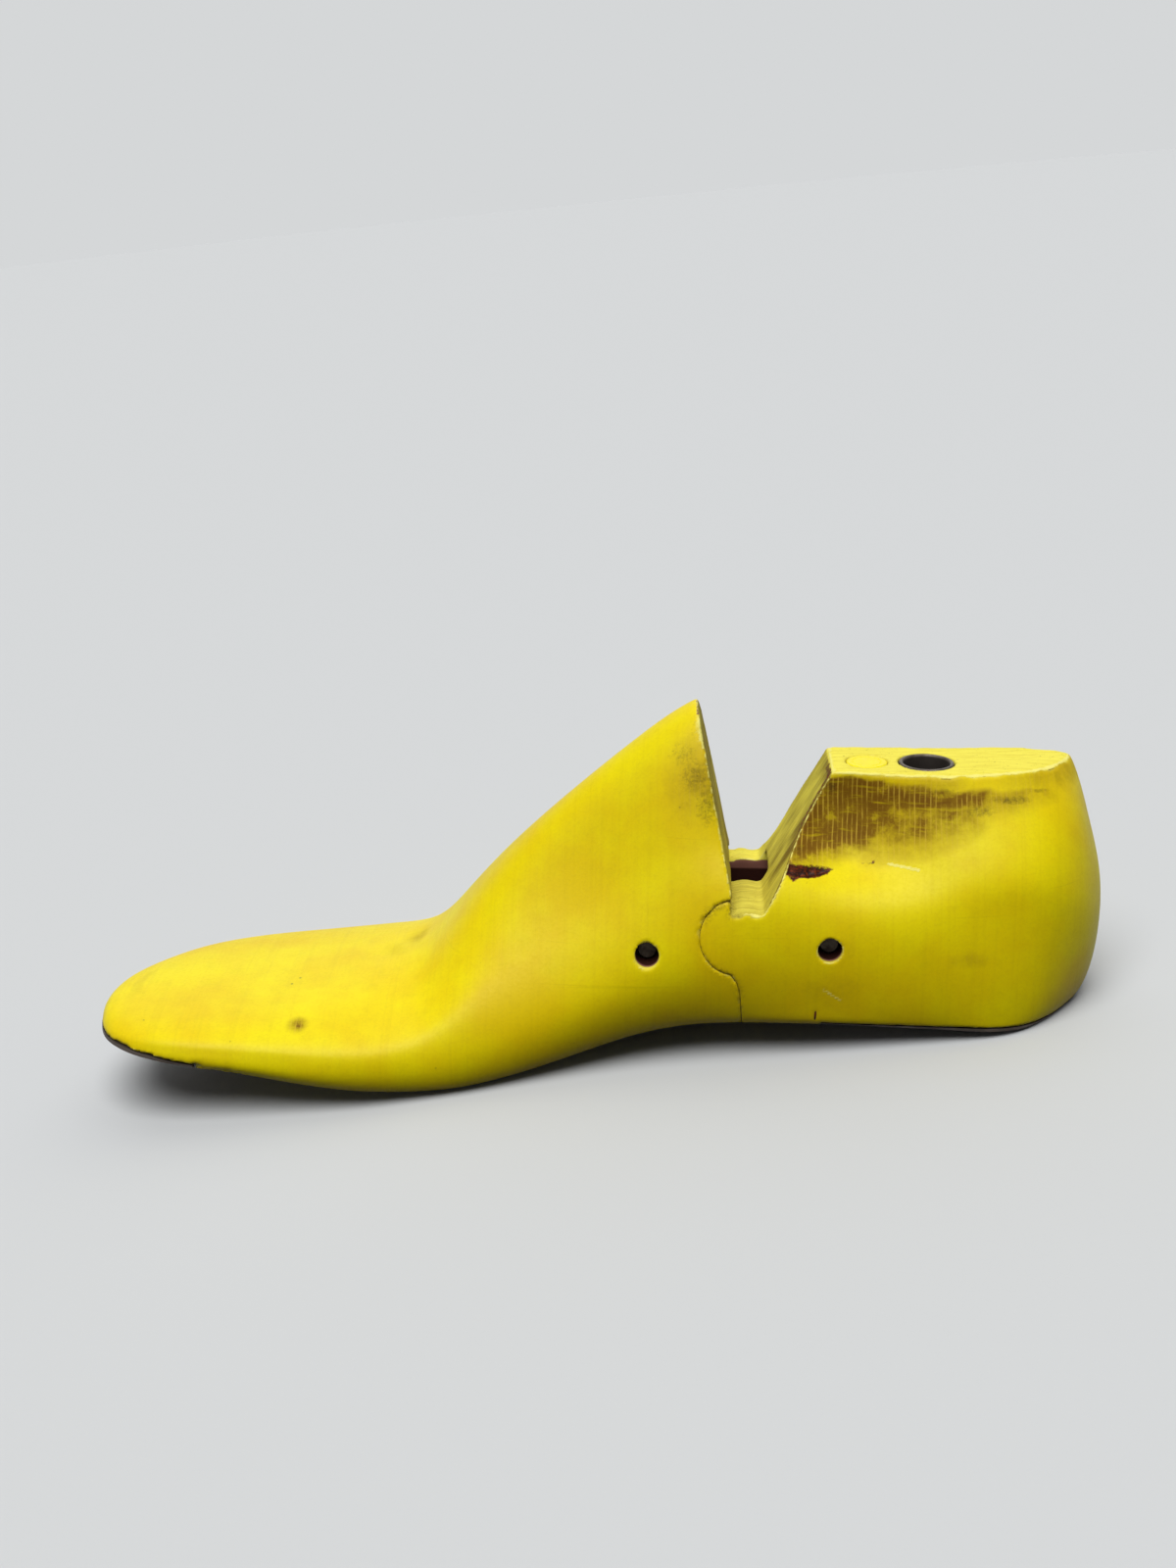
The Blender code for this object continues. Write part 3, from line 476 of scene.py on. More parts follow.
def scratch(points, lines):
    # fine lines on a surface: start, end, half width, strength
    total = np.zeros(len(points))
    for start, end, width, strength in lines:
        away = awayFromLine(points, start, end)
        total = np.maximum(total, strength * (1.0 - smoothStep(0.5 * width, 1.5 * width, away)))
    return total


def awayFromCut(points, outline):
    # how far points lie from an outline, seen along Y
    flat = points[:, (0, 2)]
    return np.min([awayFromLine(flat, *ends) for ends in zip(outline, outline[1:] + outline[:1])], axis=0)


def blotch(points, outline, blur):
    # 1 well inside an outline, a half on it and 0 outside, seen along Y
    x, z = points[:, 0], points[:, 2]
    inside = np.zeros(len(points), bool)
    for (startX, startZ), (endX, endZ) in zip(outline, outline[1:] + outline[:1]):
        if startZ != endZ:
            inside ^= ((startZ > z) != (endZ > z)) & (x < startX + (z - startZ) * (endX - startX) / (endZ - startZ))
    away = awayFromCut(points, outline)
    return np.clip(0.5 + 0.5 * np.where(inside, away, -away) / blur, 0.0, 1.0)


def blotches(points, zones):
    # the strongest of some outlines, each with its blur and strength
    return np.max([strength * blotch(points, outline, blur) for outline, blur, strength in zones], axis=0)


def nearAxis(points, middle, radius):
    # whether points lie round an axis that runs along Y
    return np.hypot(points[:, 0] - middle[0], points[:, 2] - middle[1]) < radius


def edgeDepth(place, rules):
    # how deep each edge is rubbed; a later rule takes the place of an earlier one
    depth = np.full(len(place), bodyWear["sawnRim"])
    for where, value in rules:
        depth = np.where(where, bodyWear[value] if isinstance(value, str) else value, depth)
    return depth


def jointWave(skin, byJoint, seed):
    # the joint's edges aren't quite true
    wave = bodyWear["jointWave"] * noiseAt(skin["points"], 0.8, seed)
    return np.where((skin["away"] < 1.0) & byJoint, wave, 0.0)


def wornMask(skin, points, byJoint, seed):
    # rubbed edges, which the joint has none of
    return np.where(byJoint, 0.0, skin["worn"]) * (0.8 + 0.5 * noiseAt(points, 1.6, seed))


def hollowMask(skin, points, inSlot, outline, pin):
    # painted shade over oil in the slot and the bore, from a little inside their edges
    inSlot = inSlot * smoothStep(*bodyWear["slotFrom"], awayFromCut(points, outline))
    inBore = nearAxis(points, pin, hinge["boreRadius"] + 0.25) * smoothStep(*bodyWear["boreFrom"], skin["under"])
    return np.maximum(inSlot, inBore) * (skin["sawn"] > 0.5)


def jointMask(skin, points, byJoint, marks):
    # dirt along the joint, most of it at the marks
    byEdge = np.where(byJoint, 1.0 - smoothStep(*bodyWear["jointDirt"], skin["away"]), 0.0)
    return byEdge * (0.06 + 0.7 * patch(points, marks))


# marks on the forepart, in the last's own frame
foreMarks = {
    "soot": (
        (-15.5, -16.0, 44.5, 7.5, 9.0, 6.0, 0.74), (-11.5, -18.0, 39.5, 7.0, 9.0, 7.5, 0.82),
        (-8.5, -20.0, 32.0, 4.5, 9.0, 9.0, 0.90), (-12.0, -10.0, 50.0, 3.2, 9.0, 8.0, 0.60),
        (-4.5, -26.0, 17.0, 1.8, 9.0, 8.0, 0.55)),
    "grime": (
        (-11.0, -17.5, 38.0, 8.0, 9.0, 13.0, 0.34), (-116.6, -38.6, -24.7, 2.2, 2.6, 2.2, 0.95),
        # the patches at x -90 and -95 lie in the crease between instep and toe: painted crease shade with a grime
        # smudge
        (-90.0, 4.0, -16.0, 5.0, 7.0, 2.5, 0.30), (-95.0, -3.0, -17.5, 5.0, 7.0, 2.5, 0.22),
        (-150.0, -40.0, -32.0, 26.0, 12.0, 2.0, 0.25)),
    "rubbed": ((-13.5, -2.0, 59.0, 2.4, 8.0, 4.0, 0.9), (-11.0, -12.0, 53.5, 1.2, 6.0, 6.0, 0.7)),
    "crease": ((-90.0, 4.0, -16.2, 5.5, 6.5, 2.6, 0.45), (-97.0, -4.0, -17.8, 5.0, 6.0, 2.5, 0.22)),
    "chips": ((-142.5, -47.0, -33.4, 1.8, 3.0, 1.2, 0.9), (-135.5, -47.8, -35.0, 3.0, 3.0, 1.0, 0.9),
              (-131.0, -47.8, -35.8, 1.8, 3.0, 0.9, 0.8), (-147.0, -46.0, -33.0, 1.5, 3.0, 0.9, 0.5)),
    "toeLine": (((-143.5, -47.2, -34.0), (-137.5, -48.0, -35.3), 0.6, 1.0),),
    "jointDirt": ((-7.0, -30.0, 7.0, 5.0, 12.0, 3.5, 1.0), (-2.0, -30.0, 9.0, 4.0, 12.0, 3.0, 1.0),
                  (-5.0, -30.0, -8.8, 3.0, 12.0, 3.0, 0.9), (0.5, -30.0, -14.0, 2.5, 12.0, 5.0, 0.5)),
}

foreSkin = evenSkin(foreSharp, bodyWear["foreSkin"])
place = foreSkin["place"]
byJoint = nearAxis(place, (0.0, 0.0), hinge["socket"] + 0.4)
byJoint |= (place[:, 2] < -10) & (np.abs(place[:, 0] - 1) < 2.5)
# edges of the toe plate's seat, the tip, the joint, the bore and the slot
depth = edgeDepth(place, (
    (place[:, 0] < -100, "seatEdge"), (place[:, 2] > 46, "tipEdge"), (byJoint, "jointEdge"),
    (nearAxis(place, frontPin, hinge["boreRadius"] + 0.3), "boreEdge"),
    (np.abs(np.abs(place[:, 1]) - slotHalf) < 0.05, "slotEdge")))
rubEdges(foreSkin, depth * (1.0 + 0.7 * noiseAt(place, 3.1, 2.0) + 0.4 * noiseAt(place, 0.9, 5.0)))
points, sawn = foreSkin["points"], foreSkin["sawn"]
bite = np.clip(patch(points, foreMarks["chips"]) * (0.6 + 1.2 * noiseAt(points, 1.3, 9.0)), 0.0, 1.0)
raisePoints(foreSkin, jointWave(foreSkin, byJoint, 4.0) - patch(points, foreMarks["crease"])
            - bodyWear["chipDepth"] * bite)
faceDirt = 0.55 + 0.5 * noiseAt(points * (1.0, 1.0, 0.15), 4.0, 19.0)
inSlot = (np.abs(points[:, 1]) < slotHalf + 0.15) & (points[:, 0] > -34)
addMasks(
    foreSkin["mesh"], sawn=sawn,
    worn=np.max([wornMask(foreSkin, points, byJoint, 3.0), patch(points, foreMarks["rubbed"]), bite], axis=0),
    grime=np.where((sawn > 0.5) & (points[:, 2] > 8), faceDirt, patch(points, foreMarks["grime"])),
    soot=np.maximum(patch(points, foreMarks["soot"]) * (points[:, 1] < 2), scratch(points, foreMarks["toeLine"])),
    hollow=hollowMask(foreSkin, points, inSlot, foreCutOutline(), frontPin),
    jointDirt=jointMask(foreSkin, points, byJoint, foreMarks["jointDirt"]))
print("forepart worn", len(foreSkin["mesh"].polygons))

# marks on the heel part; the zones and gashes are outlines in X and Z with a blur and a strength
heelMarks = {
    "grimeZones": (
        (((17.0, 44.0), (34.0, 44.0), (34.0, 34.0), (27.0, 29.0), (19.0, 27.0), (13.0, 26.0)), 4.0, 1.0),
        (((16.0, 44.0), (40.0, 44.0), (42.0, 26.0), (34.0, 19.5), (25.0, 17.6), (6.0, 16.6), (10.0, 26.0)), 3.0, 0.92),
        (((34.0, 36.8), (66.0, 34.8), (65.0, 30.5), (50.0, 28.5), (34.0, 28.0)), 3.0, 0.95),
        (((38.0, 44.0), (68.0, 44.0), (63.0, 27.0), (48.0, 20.5), (34.0, 18.0)), 4.5, 0.66),
        (((62.0, 44.0), (90.0, 44.0), (86.0, 33.0), (72.0, 30.0), (60.0, 29.0)), 3.5, 0.48)),
    "grimeTop": ((0.0, 0.4), (30.0, 0.6), (45.0, 1.4), (58.0, 2.8), (90.0, 3.6)),
    "grime": ((61.2, -31.5, -6.1, 7.0, 5.0, 2.5, 0.22), (25.0, -34.0, -15.0, 9.0, 5.0, 6.0, 0.18),
              (27.7, -30.0, -3.1, 5.0, 5.0, 5.0, 0.22)),
    # grime and painted shade on the V's slope, where the forepart shades it
    "slopeGrimeAndShade": ((9.0, -12.0, 12.0, 6.0, 12.0, 9.0, 0.30), (18.0, -16.0, 26.0, 9.0, 7.0, 14.0, 0.62),
                   (24.0, -5.0, 37.0, 3.0, 16.0, 5.0, 0.55), (2.0, 11.0, 6.0, 4.0, 6.0, 3.0, 0.12)),
    "soot": (
        (72.0, -12.0, 32.2, 8.0, 6.0, 1.5, 1.0), (64.0, -15.0, 29.8, 7.0, 6.0, 2.2, 0.85),
        (81.0, -11.0, 33.8, 6.0, 6.0, 0.9, 0.9),
        (55.0, -13.0, 34.5, 9.0, 5.0, 1.8, 0.70), (24.5, -11.0, 34.5, 3.0, 5.0, 3.0, 0.95),
        (19.0, -16.0, 25.0, 3.0, 6.0, 6.0, 0.60), (16.0, -20.0, 20.0, 5.0, 6.0, 2.5, 0.70)),
    "gashes": (
        (((11.0, 17.4), (13.5, 17.8), (15.6, 17.2), (19.8, 16.6), (25.4, 15.4), (23.6, 14.7), (21.4, 14.3),
          (18.6, 14.3), (15.2, 14.7), (12.8, 15.4), (11.0, 16.0)), 1.4, 1.0),
        (((12.4, 16.0), (18.5, 15.2), (17.4, 14.3), (15.6, 14.1), (14.0, 13.6), (12.8, 14.6)), 1.6, 0.80),
        (((31.5, 16.7), (34.0, 16.6), (36.7, 17.3), (36.3, 16.0), (33.4, 15.9)), 1.4, 0.85)),
    "notch": ((92.6, -10.0, 28.6, 1.6, 1.6, 0.55, 0.7),),
    "scratches": (
        ((39.8, -20.7, 16.7), (47.5, -23.3, 16.0), 0.45, 0.9), ((22.7, -34.4, -14.0), (27.4, -34.0, -17.2), 0.40, 0.6),
        ((27.0, -33.5, -8.5), (26.9, -33.7, -10.3), 0.35, 0.8), ((28.2, -33.5, -8.5), (28.3, -33.7, -9.8), 0.30, 0.7)),
    "ticks": (((20.9, -33.9, -20.6), (21.2, -33.0, -24.6), 0.35, 1.0),
              ((75.8, -15.0, 31.5), (89.1, -11.3, 33.4), 0.25, 0.6)),
    "jointDirt": ((-7.0, -30.0, 7.0, 5.0, 12.0, 3.5, 1.0), (-2.0, -30.0, 8.0, 3.0, 12.0, 3.0, 1.0),
                  (-4.0, -30.0, -9.5, 3.0, 12.0, 3.0, 0.9), (1.5, -30.0, -14.0, 2.5, 12.0, 5.0, 0.5)),
}

heelSkin = evenSkin(heelSharp, bodyWear["heelSkin"])
place, away = heelSkin["place"], heelSkin["away"]
onSlot = np.abs(np.abs(place[:, 1]) - slotHalf) < 0.05
onCone = place[:, 2] > coneTop - 0.1
onFloor = (place[:, 2] > 4.5) & (place[:, 2] < 6.9) & (place[:, 0] > -2.3) & (place[:, 0] < 7.0)
byJoint = nearAxis(place, (0.0, 0.0), hinge["knuckle"] + 0.1) & (place[:, 0] < 1.0)
byJoint |= (place[:, 2] < -9) & (np.abs(place[:, 0] - 1.4) < 2.0)
byFitting = onCone & ((np.hypot(place[:, 0] - fittings["thimbleX"], place[:, 1]) < thimbleRadius + 0.2)
                      | (np.hypot(place[:, 0] - fittings["plugX"], place[:, 1]) < plugRadius + 0.2))
floorMiddle = smoothStep(-2.2, -0.2, place[:, 0]) * smoothStep(6.6, 4.6, place[:, 0])
floorRim = np.where(place[:, 1] < 0, bodyWear["floorRim"], bodyWear["farRim"])
# edges of the heel plate's seat, the joint, the bore, the V's floor, the slot, the cone and its fittings
depth = edgeDepth(place, (
    ((place[:, 2] < -22) & (place[:, 0] > 15), "seatEdge"), (byJoint, "jointEdge"),
    (nearAxis(place, rearPin, hinge["boreRadius"] + 0.3), "boreEdge"),
    (onFloor & (np.abs(place[:, 1]) > 10), bodyWear["floorEdge"] + floorRim * floorMiddle), (onSlot, "slotEdge"),
    (onSlot & onFloor, bodyWear["floorEdge"] + bodyWear["floorSlot"] * floorMiddle), (onCone, "coneRim"),
    (byFitting, "seatEdge")))
unevenness = 0.7 * noiseAt(place, 3.7, 12.0) + 0.4 * noiseAt(place, 1.1, 15.0)
rubEdges(heelSkin, depth * (1.0 + np.where(onFloor, 0.2, 1.0) * unevenness))
points, sawn = heelSkin["points"], heelSkin["sawn"]
x, y, z = points.T
# gashes and soot lie on the inner side's turned skin only
outside = np.where((y < 0) & (sawn < 0.6), 1.0, 0.0)
gash = blotches(points, heelMarks["gashes"]) * outside
pale, ticks = scratch(points, heelMarks["scratches"]), scratch(points, heelMarks["ticks"])
torn = smoothStep(0.45, 0.95, gash) * (1.0 + 0.5 * noiseAt(points, 1.4, 7.0))
raisePoints(heelSkin, jointWave(heelSkin, byJoint, 24.0) - bodyWear["gashDepth"] * torn
            - bodyWear["notchDepth"] * patch(points, heelMarks["notch"]) - bodyWear["scratchDepth"] * pale
            - bodyWear["tickDepth"] * ticks)

# grime of the cone: zones that end below its rim, a thin film above, and a few spots
grime = blotches(points, heelMarks["grimeZones"]) * smoothStep(-4.0, -9.0, y)
grimeTop = coneTop - np.interp(x, *zip(*heelMarks["grimeTop"])) + 0.9 * noiseAt(points, 4.0, 41.0)
grime *= smoothStep(0.0, 1.8, grimeTop - z)
film = 0.45 * smoothStep(30.0, 37.0, z) * (0.5 + 0.8 * noiseAt(points, 14.0, 31.0))
grime = np.max([grime, film, patch(points, heelMarks["grime"])], axis=0)
# dirt and painted shade on the V's slope and floor, darkest along the slope's inner edge, and the dark line inside the
# slope's edge
slopeDirtAndShade = 0.30 + 0.45 * noiseAt(points * (1.0, 1.0, 0.3), 5.0, 23.0) + patch(points, heelMarks["slopeGrimeAndShade"])
slopeDirtAndShade = np.where(place[:, 1] < 0, np.maximum(slopeDirtAndShade, 1.0 - smoothStep(0.5, 1.4, away)), slopeDirtAndShade)
slopeDirtAndShade *= (z < coneTop - 0.9) * smoothStep(7.2, 10.0, z)
# a dark line just inside the slope's inner edge: painted edge shadow with grime
slopeEdgeShadowAndGrime = smoothStep(0.3, 0.5, away) * (1.0 - smoothStep(2.6, 3.4, away)) * smoothStep(17.0, 24.0, z)
slopeEdgeShadowAndGrime *= (sawn > 0.5) * (place[:, 1] < 0) * (z < coneTop - 0.6)
# the slot's inside gets painted shade over oil, lighter in a band at the top of the far wall, which is painted as lit
inSlot = (np.abs(y) < slotHalf + 0.15) & (z < 20) & (x < 36)
inSlot = inSlot * smoothStep(6.9, 6.1, z) * np.where(y > 0, 0.68 + 0.32 * smoothStep(4.4, 3.8, z), 1.0)
addMasks(
    heelSkin["mesh"], sawn=sawn, worn=np.maximum(wornMask(heelSkin, points, byJoint, 13.0), pale),
    # on sawn faces the grime mask holds dirt with painted shade: the slope, and the near side of the V's floor
    grime=np.where(sawn > 0.5, np.maximum(slopeDirtAndShade, 0.34 * (z < 10) * (y < 0)), grime),
    # the stain mask takes the gashes, the nicks and the slope's painted edge shadow
    soot=patch(points, heelMarks["soot"]) * outside, stain=np.max([gash, ticks, 0.54 * slopeEdgeShadowAndGrime], axis=0),
    hollow=hollowMask(heelSkin, points, inSlot, heelCutOutline(), rearPin),
    jointDirt=jointMask(heelSkin, points, byJoint, heelMarks["jointDirt"]))
print("heel part worn", len(heelSkin["mesh"].polygons))


def hexColour(text):
    parts = [int(text[i:i + 2], 16) / 255 for i in (1, 3, 5)]
    return (*(c / 12.92 if c <= 0.04045 else ((c + 0.055) / 1.055) ** 2.4 for c in parts), 1.0)


def addNode(tree, kind, inputs=None, take=0, **settings):
    # adds a node with its settings and links, and gives back one of its outputs
    node = tree.nodes.new(kind)
    for name, value in settings.items():
        setattr(node, name, value)
    for key, value in (inputs or {}).items():
        if isinstance(value, bpy.types.NodeSocket):
            tree.links.new(value, node.inputs[key])
        else:
            node.inputs[key].default_value = value
    return node.outputs[take] if len(node.outputs) else node


def newMaterial(name):
    material = bpy.data.materials.new(name)
    material.use_nodes = True
    tree = material.node_tree
    return material, tree, tree.nodes["Principled BSDF"]


def finishMaterial(material, tree, shader, colour, rough, relief):
    # colour, roughness and a relief in millimetres go to the shader
    bump = addNode(tree, "ShaderNodeBump", {"Height": relief, "Distance": 0.001, "Strength": 1.0})
    for source, name in ((colour, "Base Color"), (rough, "Roughness"), (bump, "Normal")):
        tree.links.new(source, shader.inputs[name])
    return material


def lastCoordinates(tree):
    # millimetres in the last's own frame, from the object's coordinates
    turn = Matrix.Rotation(-tilt, 4, "Y")
    return addNode(tree, "ShaderNodeMapping", {
        "Vector": addNode(tree, "ShaderNodeTexCoord", take="Object"), "Scale": (1000.0, 1000.0, 1000.0),
        "Rotation": (0.0, -tilt, 0.0), "Location": tuple(turn @ foldPoint * -1000.0)})


# High density polyethylene, turned on a copying lathe and sanded: a waxy lemon yellow with faint rings
# round the long axis. Saw and plane leave it cream and streaked, rubbed edges go pale, and dirt sits
# in the rings until it is scraped off in fine lines.
hair = {"Scale": (0.02, 0.03, 1.1)}
polyethylene = {
    "bright": "#F7E400", "deep": "#EFD000", "film": "#A08C04", "ringShade": "#B89B02", "speck": "#4A3A0A",
    # the sawn grime colour also paints shade on the V's slope and floor
    "sawn": "#F6EA58", "sawnDeep": "#D6C038", "sawnGrimeAndShade": "#7C6414", "pale": "#FAF080",
    "grime": "#8E6A08", "grimeDeep": "#6C4002", "scraped": "#E2BE40", "soot": "#3A2C08",
    # the stain colour also paints the slope's edge shadow; the colours for slot and bores paint shade over oil, the
    # lighter one where a wall is painted as lit
    "stain": "#280C04", "stainLight": "#7E340E", "hollow": "#34160E", "hollowLight": "#8A5C50", "joint": "#57400F",
    "roughness": 0.43, "sawnRoughness": 0.75, "scrapeSpacing": 1.35, "ior": 1.53, "gloss": 0.16,
    # noises on millimetres: scale, detail, roughness, and how the place is drawn out, turned and moved
    "noises": {
        "cloud": (0.03, 4.0, 0.6, {}), "blot": (0.20, 5.0, 0.7, {}),
        "fine": (1.3, 4.0, 0.65, {}), "grains": (0.95, 4.0, 0.75, {}),
        "rings": (1.0, 2.0, 0.5, {"Scale": (1.0 / 1.1, 0.02, 0.024)}),
        "hairLong": (1.0, 1.0, 0.5, {**hair, "Rotation": (0.2, 0.5, 0.1), "Location": (3.0, 3.0, 3.0)}),
        "hairBack": (1.0, 1.0, 0.5, {**hair, "Rotation": (0.2, -0.35, 0.1), "Location": (11.0, 11.0, 11.0)}),
        "hairSteep": (1.0, 1.0, 0.5, {**hair, "Rotation": (0.2, 1.3, 0.1), "Location": (23.0, 23.0, 23.0)}),
        "drag": (1.0, 5.0, 0.72, {"Scale": (0.10, 1.1, 0.10)}),
        "breaks": (1.0, 3.0, 0.65, {"Scale": (0.55, 0.12, 0.14)}),
        "across": (1.0, 3.0, 0.6, {"Scale": (0.12, 0.3, 1.2), "Rotation": (0.0, 0.3, 0.0)})},
    # shares made of a noise: from, to, and the least and the most that it becomes
    "shares": {
        "bright": ("cloud", 0.38, 0.62), "film": ("blot", 0.48, 0.80, 0.0, 0.12),
        "ring": ("rings", 0.50, 0.28, 0.0, 0.08), "mottle": ("fine", 0.46, 0.68, 0.0, 0.12),
        "hairLong": ("hairLong", 0.745, 0.80, 0.0, 0.10), "hairBack": ("hairBack", 0.745, 0.80, 0.0, 0.10),
        "hairSteep": ("hairSteep", 0.745, 0.80, 0.0, 0.10), "speckGate": ("blot", 0.52, 0.60, 0.0, 0.75),
        "streaks": ("drag", 0.42, 0.74, 0.0, 0.70), "crumbs": ("grains", 0.60, 0.72, 0.0, 0.6),
        "sawnDirtAndShade": ("drag", 0.30, 0.62, 0.6, 1.3), "skinDirt": ("blot", 0.30, 0.62, 0.55, 1.15),
        "breaks": ("breaks", 0.38, 0.60), "across": ("across", 0.55, 0.70, 0.0, 0.35),
        "jointGrain": ("grains", 0.40, 0.60), "wornGrain": ("fine", 0.35, 0.60, -0.15, 0.10),
        "stainGrain": ("grains", 0.46, 0.64)},
}


def makePolyethylene(name, look):
    material, tree, shader = newMaterial(name)
    mm = lastCoordinates(tree)
    masks = {key: addNode(tree, "ShaderNodeAttribute", attribute_name=key, take="Fac")
             for key in ("sawn", "worn", "grime", "soot", "stain", "hollow", "jointDirt")}
    paint = {key: hexColour(value) for key, value in look.items() if isinstance(value, str)}
    noises, share = {}, {}
    for key, (scale, detail, roughness, drawn) in look["noises"].items():
        place = addNode(tree, "ShaderNodeMapping", {"Vector": mm, **drawn}) if drawn else mm
        noises[key] = addNode(tree, "ShaderNodeTexNoise", {
            "Vector": place, "Scale": scale, "Detail": detail, "Roughness": roughness})
    for key, (source, *limits) in look["shares"].items():
        share[key] = addNode(tree, "ShaderNodeMapRange", {
            "Value": noises[source], **dict(zip(("From Min", "From Max", "To Min", "To Max"), limits))})
    fine, grains, rings, drag = (noises[key] for key in ("fine", "grains", "rings", "drag"))

    # a few dark specks pressed into the skin, about half a millimetre across
    cell = addNode(tree, "ShaderNodeTexVoronoi", {"Vector": mm, "Scale": 0.10, "Randomness": 1.0}, take="Distance")
    speck = addNode(tree, "ShaderNodeMapRange", {"Value": cell, "From Min": 0.050, "From Max": 0.022})
    speck = addNode(tree, "ShaderNodeMath", {0: speck, 1: share["speckGate"]}, operation="MULTIPLY")
    # grime in the streaks of sawn faces, with painted shade on the heel's V slope and floor; and on the skin a brown
    # cover that is deeper in lumps, with painted shade in the forepart's crease
    sawnDirtAndShade, dirtAndShade = (
        addNode(tree, "ShaderNodeMath", {0: masks["grime"], 1: share[key]}, operation="MULTIPLY", use_clamp=True)
        for key in ("sawnDirtAndShade", "skinDirt"))
    dirtAndShadeShare = addNode(tree, "ShaderNodeMapRange", {"Value": dirtAndShade, "From Min": 0.06, "From Max": 0.70, "To Max": 0.94})
    dirtDeep = addNode(tree, "ShaderNodeMapRange", {"Value": dirtAndShade, "From Min": 0.45, "From Max": 0.95})
    # it is scraped off in broken pale lines round the cone, and wiped off across them
    scrape = addNode(tree, "ShaderNodeTexWave", {
        "Vector": mm, "Scale": 0.314 / look["scrapeSpacing"], "Distortion": 4.5, "Detail": 2.0, "Detail Scale": 0.22},
        take="Fac", wave_type="BANDS", bands_direction="X")
    scrape = addNode(tree, "ShaderNodeMapRange", {"Value": scrape, "From Min": 0.72, "From Max": 1.0, "To Max": 0.70})
    scrape = addNode(tree, "ShaderNodeMath", {0: scrape, 1: share["breaks"]}, operation="MULTIPLY")
    scrape = addNode(tree, "ShaderNodeMath", {0: scrape, 1: dirtAndShadeShare}, operation="MULTIPLY")
    wiped = addNode(tree, "ShaderNodeMath", {0: share["across"], 1: dirtAndShadeShare}, operation="MULTIPLY")
    # soot in specks, dirt in the joint, and rubbed edges
    soot = addNode(tree, "ShaderNodeMath", {0: grains, 1: masks["soot"]}, operation="MULTIPLY")
    soot = addNode(tree, "ShaderNodeMapRange", {"Value": soot, "From Min": 0.28, "From Max": 0.60, "To Max": 0.70})
    joint = addNode(tree, "ShaderNodeMath", {0: masks["jointDirt"], 1: share["jointGrain"]}, operation="MULTIPLY")
    rubbed = addNode(tree, "ShaderNodeMath", {0: masks["worn"], 1: share["wornGrain"]}, operation="ADD")
    rubbed = addNode(tree, "ShaderNodeMapRange", {"Value": rubbed, "From Min": 0.25, "From Max": 0.75, "To Max": 0.95})
    # gashes, nicks and the slope's painted edge shadow with outlines broken by the grain, and the dark inside of slot
    # and bores: oil under painted shade
    stain = addNode(tree, "ShaderNodeMath", {0: grains, 1: 0.45, 2: masks["stain"]}, operation="MULTIPLY_ADD")
    stain = addNode(tree, "ShaderNodeMapRange", {"Value": stain, "From Min": 0.70, "From Max": 0.80})
    hollow, hollowDeep = (
        addNode(tree, "ShaderNodeMapRange", {"Value": masks["hollow"], "From Min": low, "From Max": high})
        for low, high in ((0.1, 0.5), (0.75, 0.95)))

    # colours in layers: the ground, then each share with the colour that it lays over
    stacks = {}
    for key, ground, layers in (
            ("clean", "deep", ((share["bright"], "bright"), (share["film"], "film"), (share["ring"], "ringShade"),
                               (share["mottle"], "ringShade"), (share["hairLong"], "film"),
                               (share["hairBack"], "film"), (share["hairSteep"], "film"), (speck, "speck"))),
            ("sawn", "sawn", ((share["streaks"], "sawnDeep"), (share["crumbs"], "sawnGrimeAndShade"),
                              (sawnDirtAndShade, "sawnGrimeAndShade"))),
            ("dirtAndShade", "grime", ((dirtDeep, "grimeDeep"),)),
            ("stain", "stain", ((share["stainGrain"], "stainLight"),)),
            ("hollow", "hollowLight", ((hollowDeep, "hollow"),))):
        colour = paint[ground]
        for amount, over in layers:
            colour = addNode(tree, "ShaderNodeMix", {0: amount, 6: colour, 7: paint[over]}, 2, data_type="RGBA")
        stacks[key] = colour
    colour = stacks["clean"]
    for amount, over in (
            (dirtAndShadeShare, stacks["dirtAndShade"]), (scrape, paint["scraped"]), (wiped, stacks["clean"]),
            (masks["sawn"], stacks["sawn"]), (soot, paint["soot"]), (joint, paint["joint"]),
            (rubbed, paint["pale"]), (stain, stacks["stain"]), (hollow, stacks["hollow"])):
        colour = addNode(tree, "ShaderNodeMix", {0: amount, 6: colour, 7: over}, 2, data_type="RGBA")

    # how dull each of these is
    rough = addNode(tree, "ShaderNodeMapRange", {
        "Value": fine, "From Min": 0.3, "From Max": 0.7,
        "To Min": look["roughness"] - 0.05, "To Max": look["roughness"] + 0.08})
    dull = addNode(tree, "ShaderNodeMath", {0: masks["sawn"], 1: masks["worn"]}, operation="MAXIMUM")
    dull = addNode(tree, "ShaderNodeMath", {0: dull, 1: dirtAndShadeShare}, operation="MAXIMUM")
    rough = addNode(tree, "ShaderNodeMix", {0: dull, 2: rough, 3: look["sawnRoughness"]}, data_type="FLOAT")
    shader.inputs["IOR"].default_value = look["ior"]
    shader.inputs["Specular IOR Level"].default_value = look["gloss"]

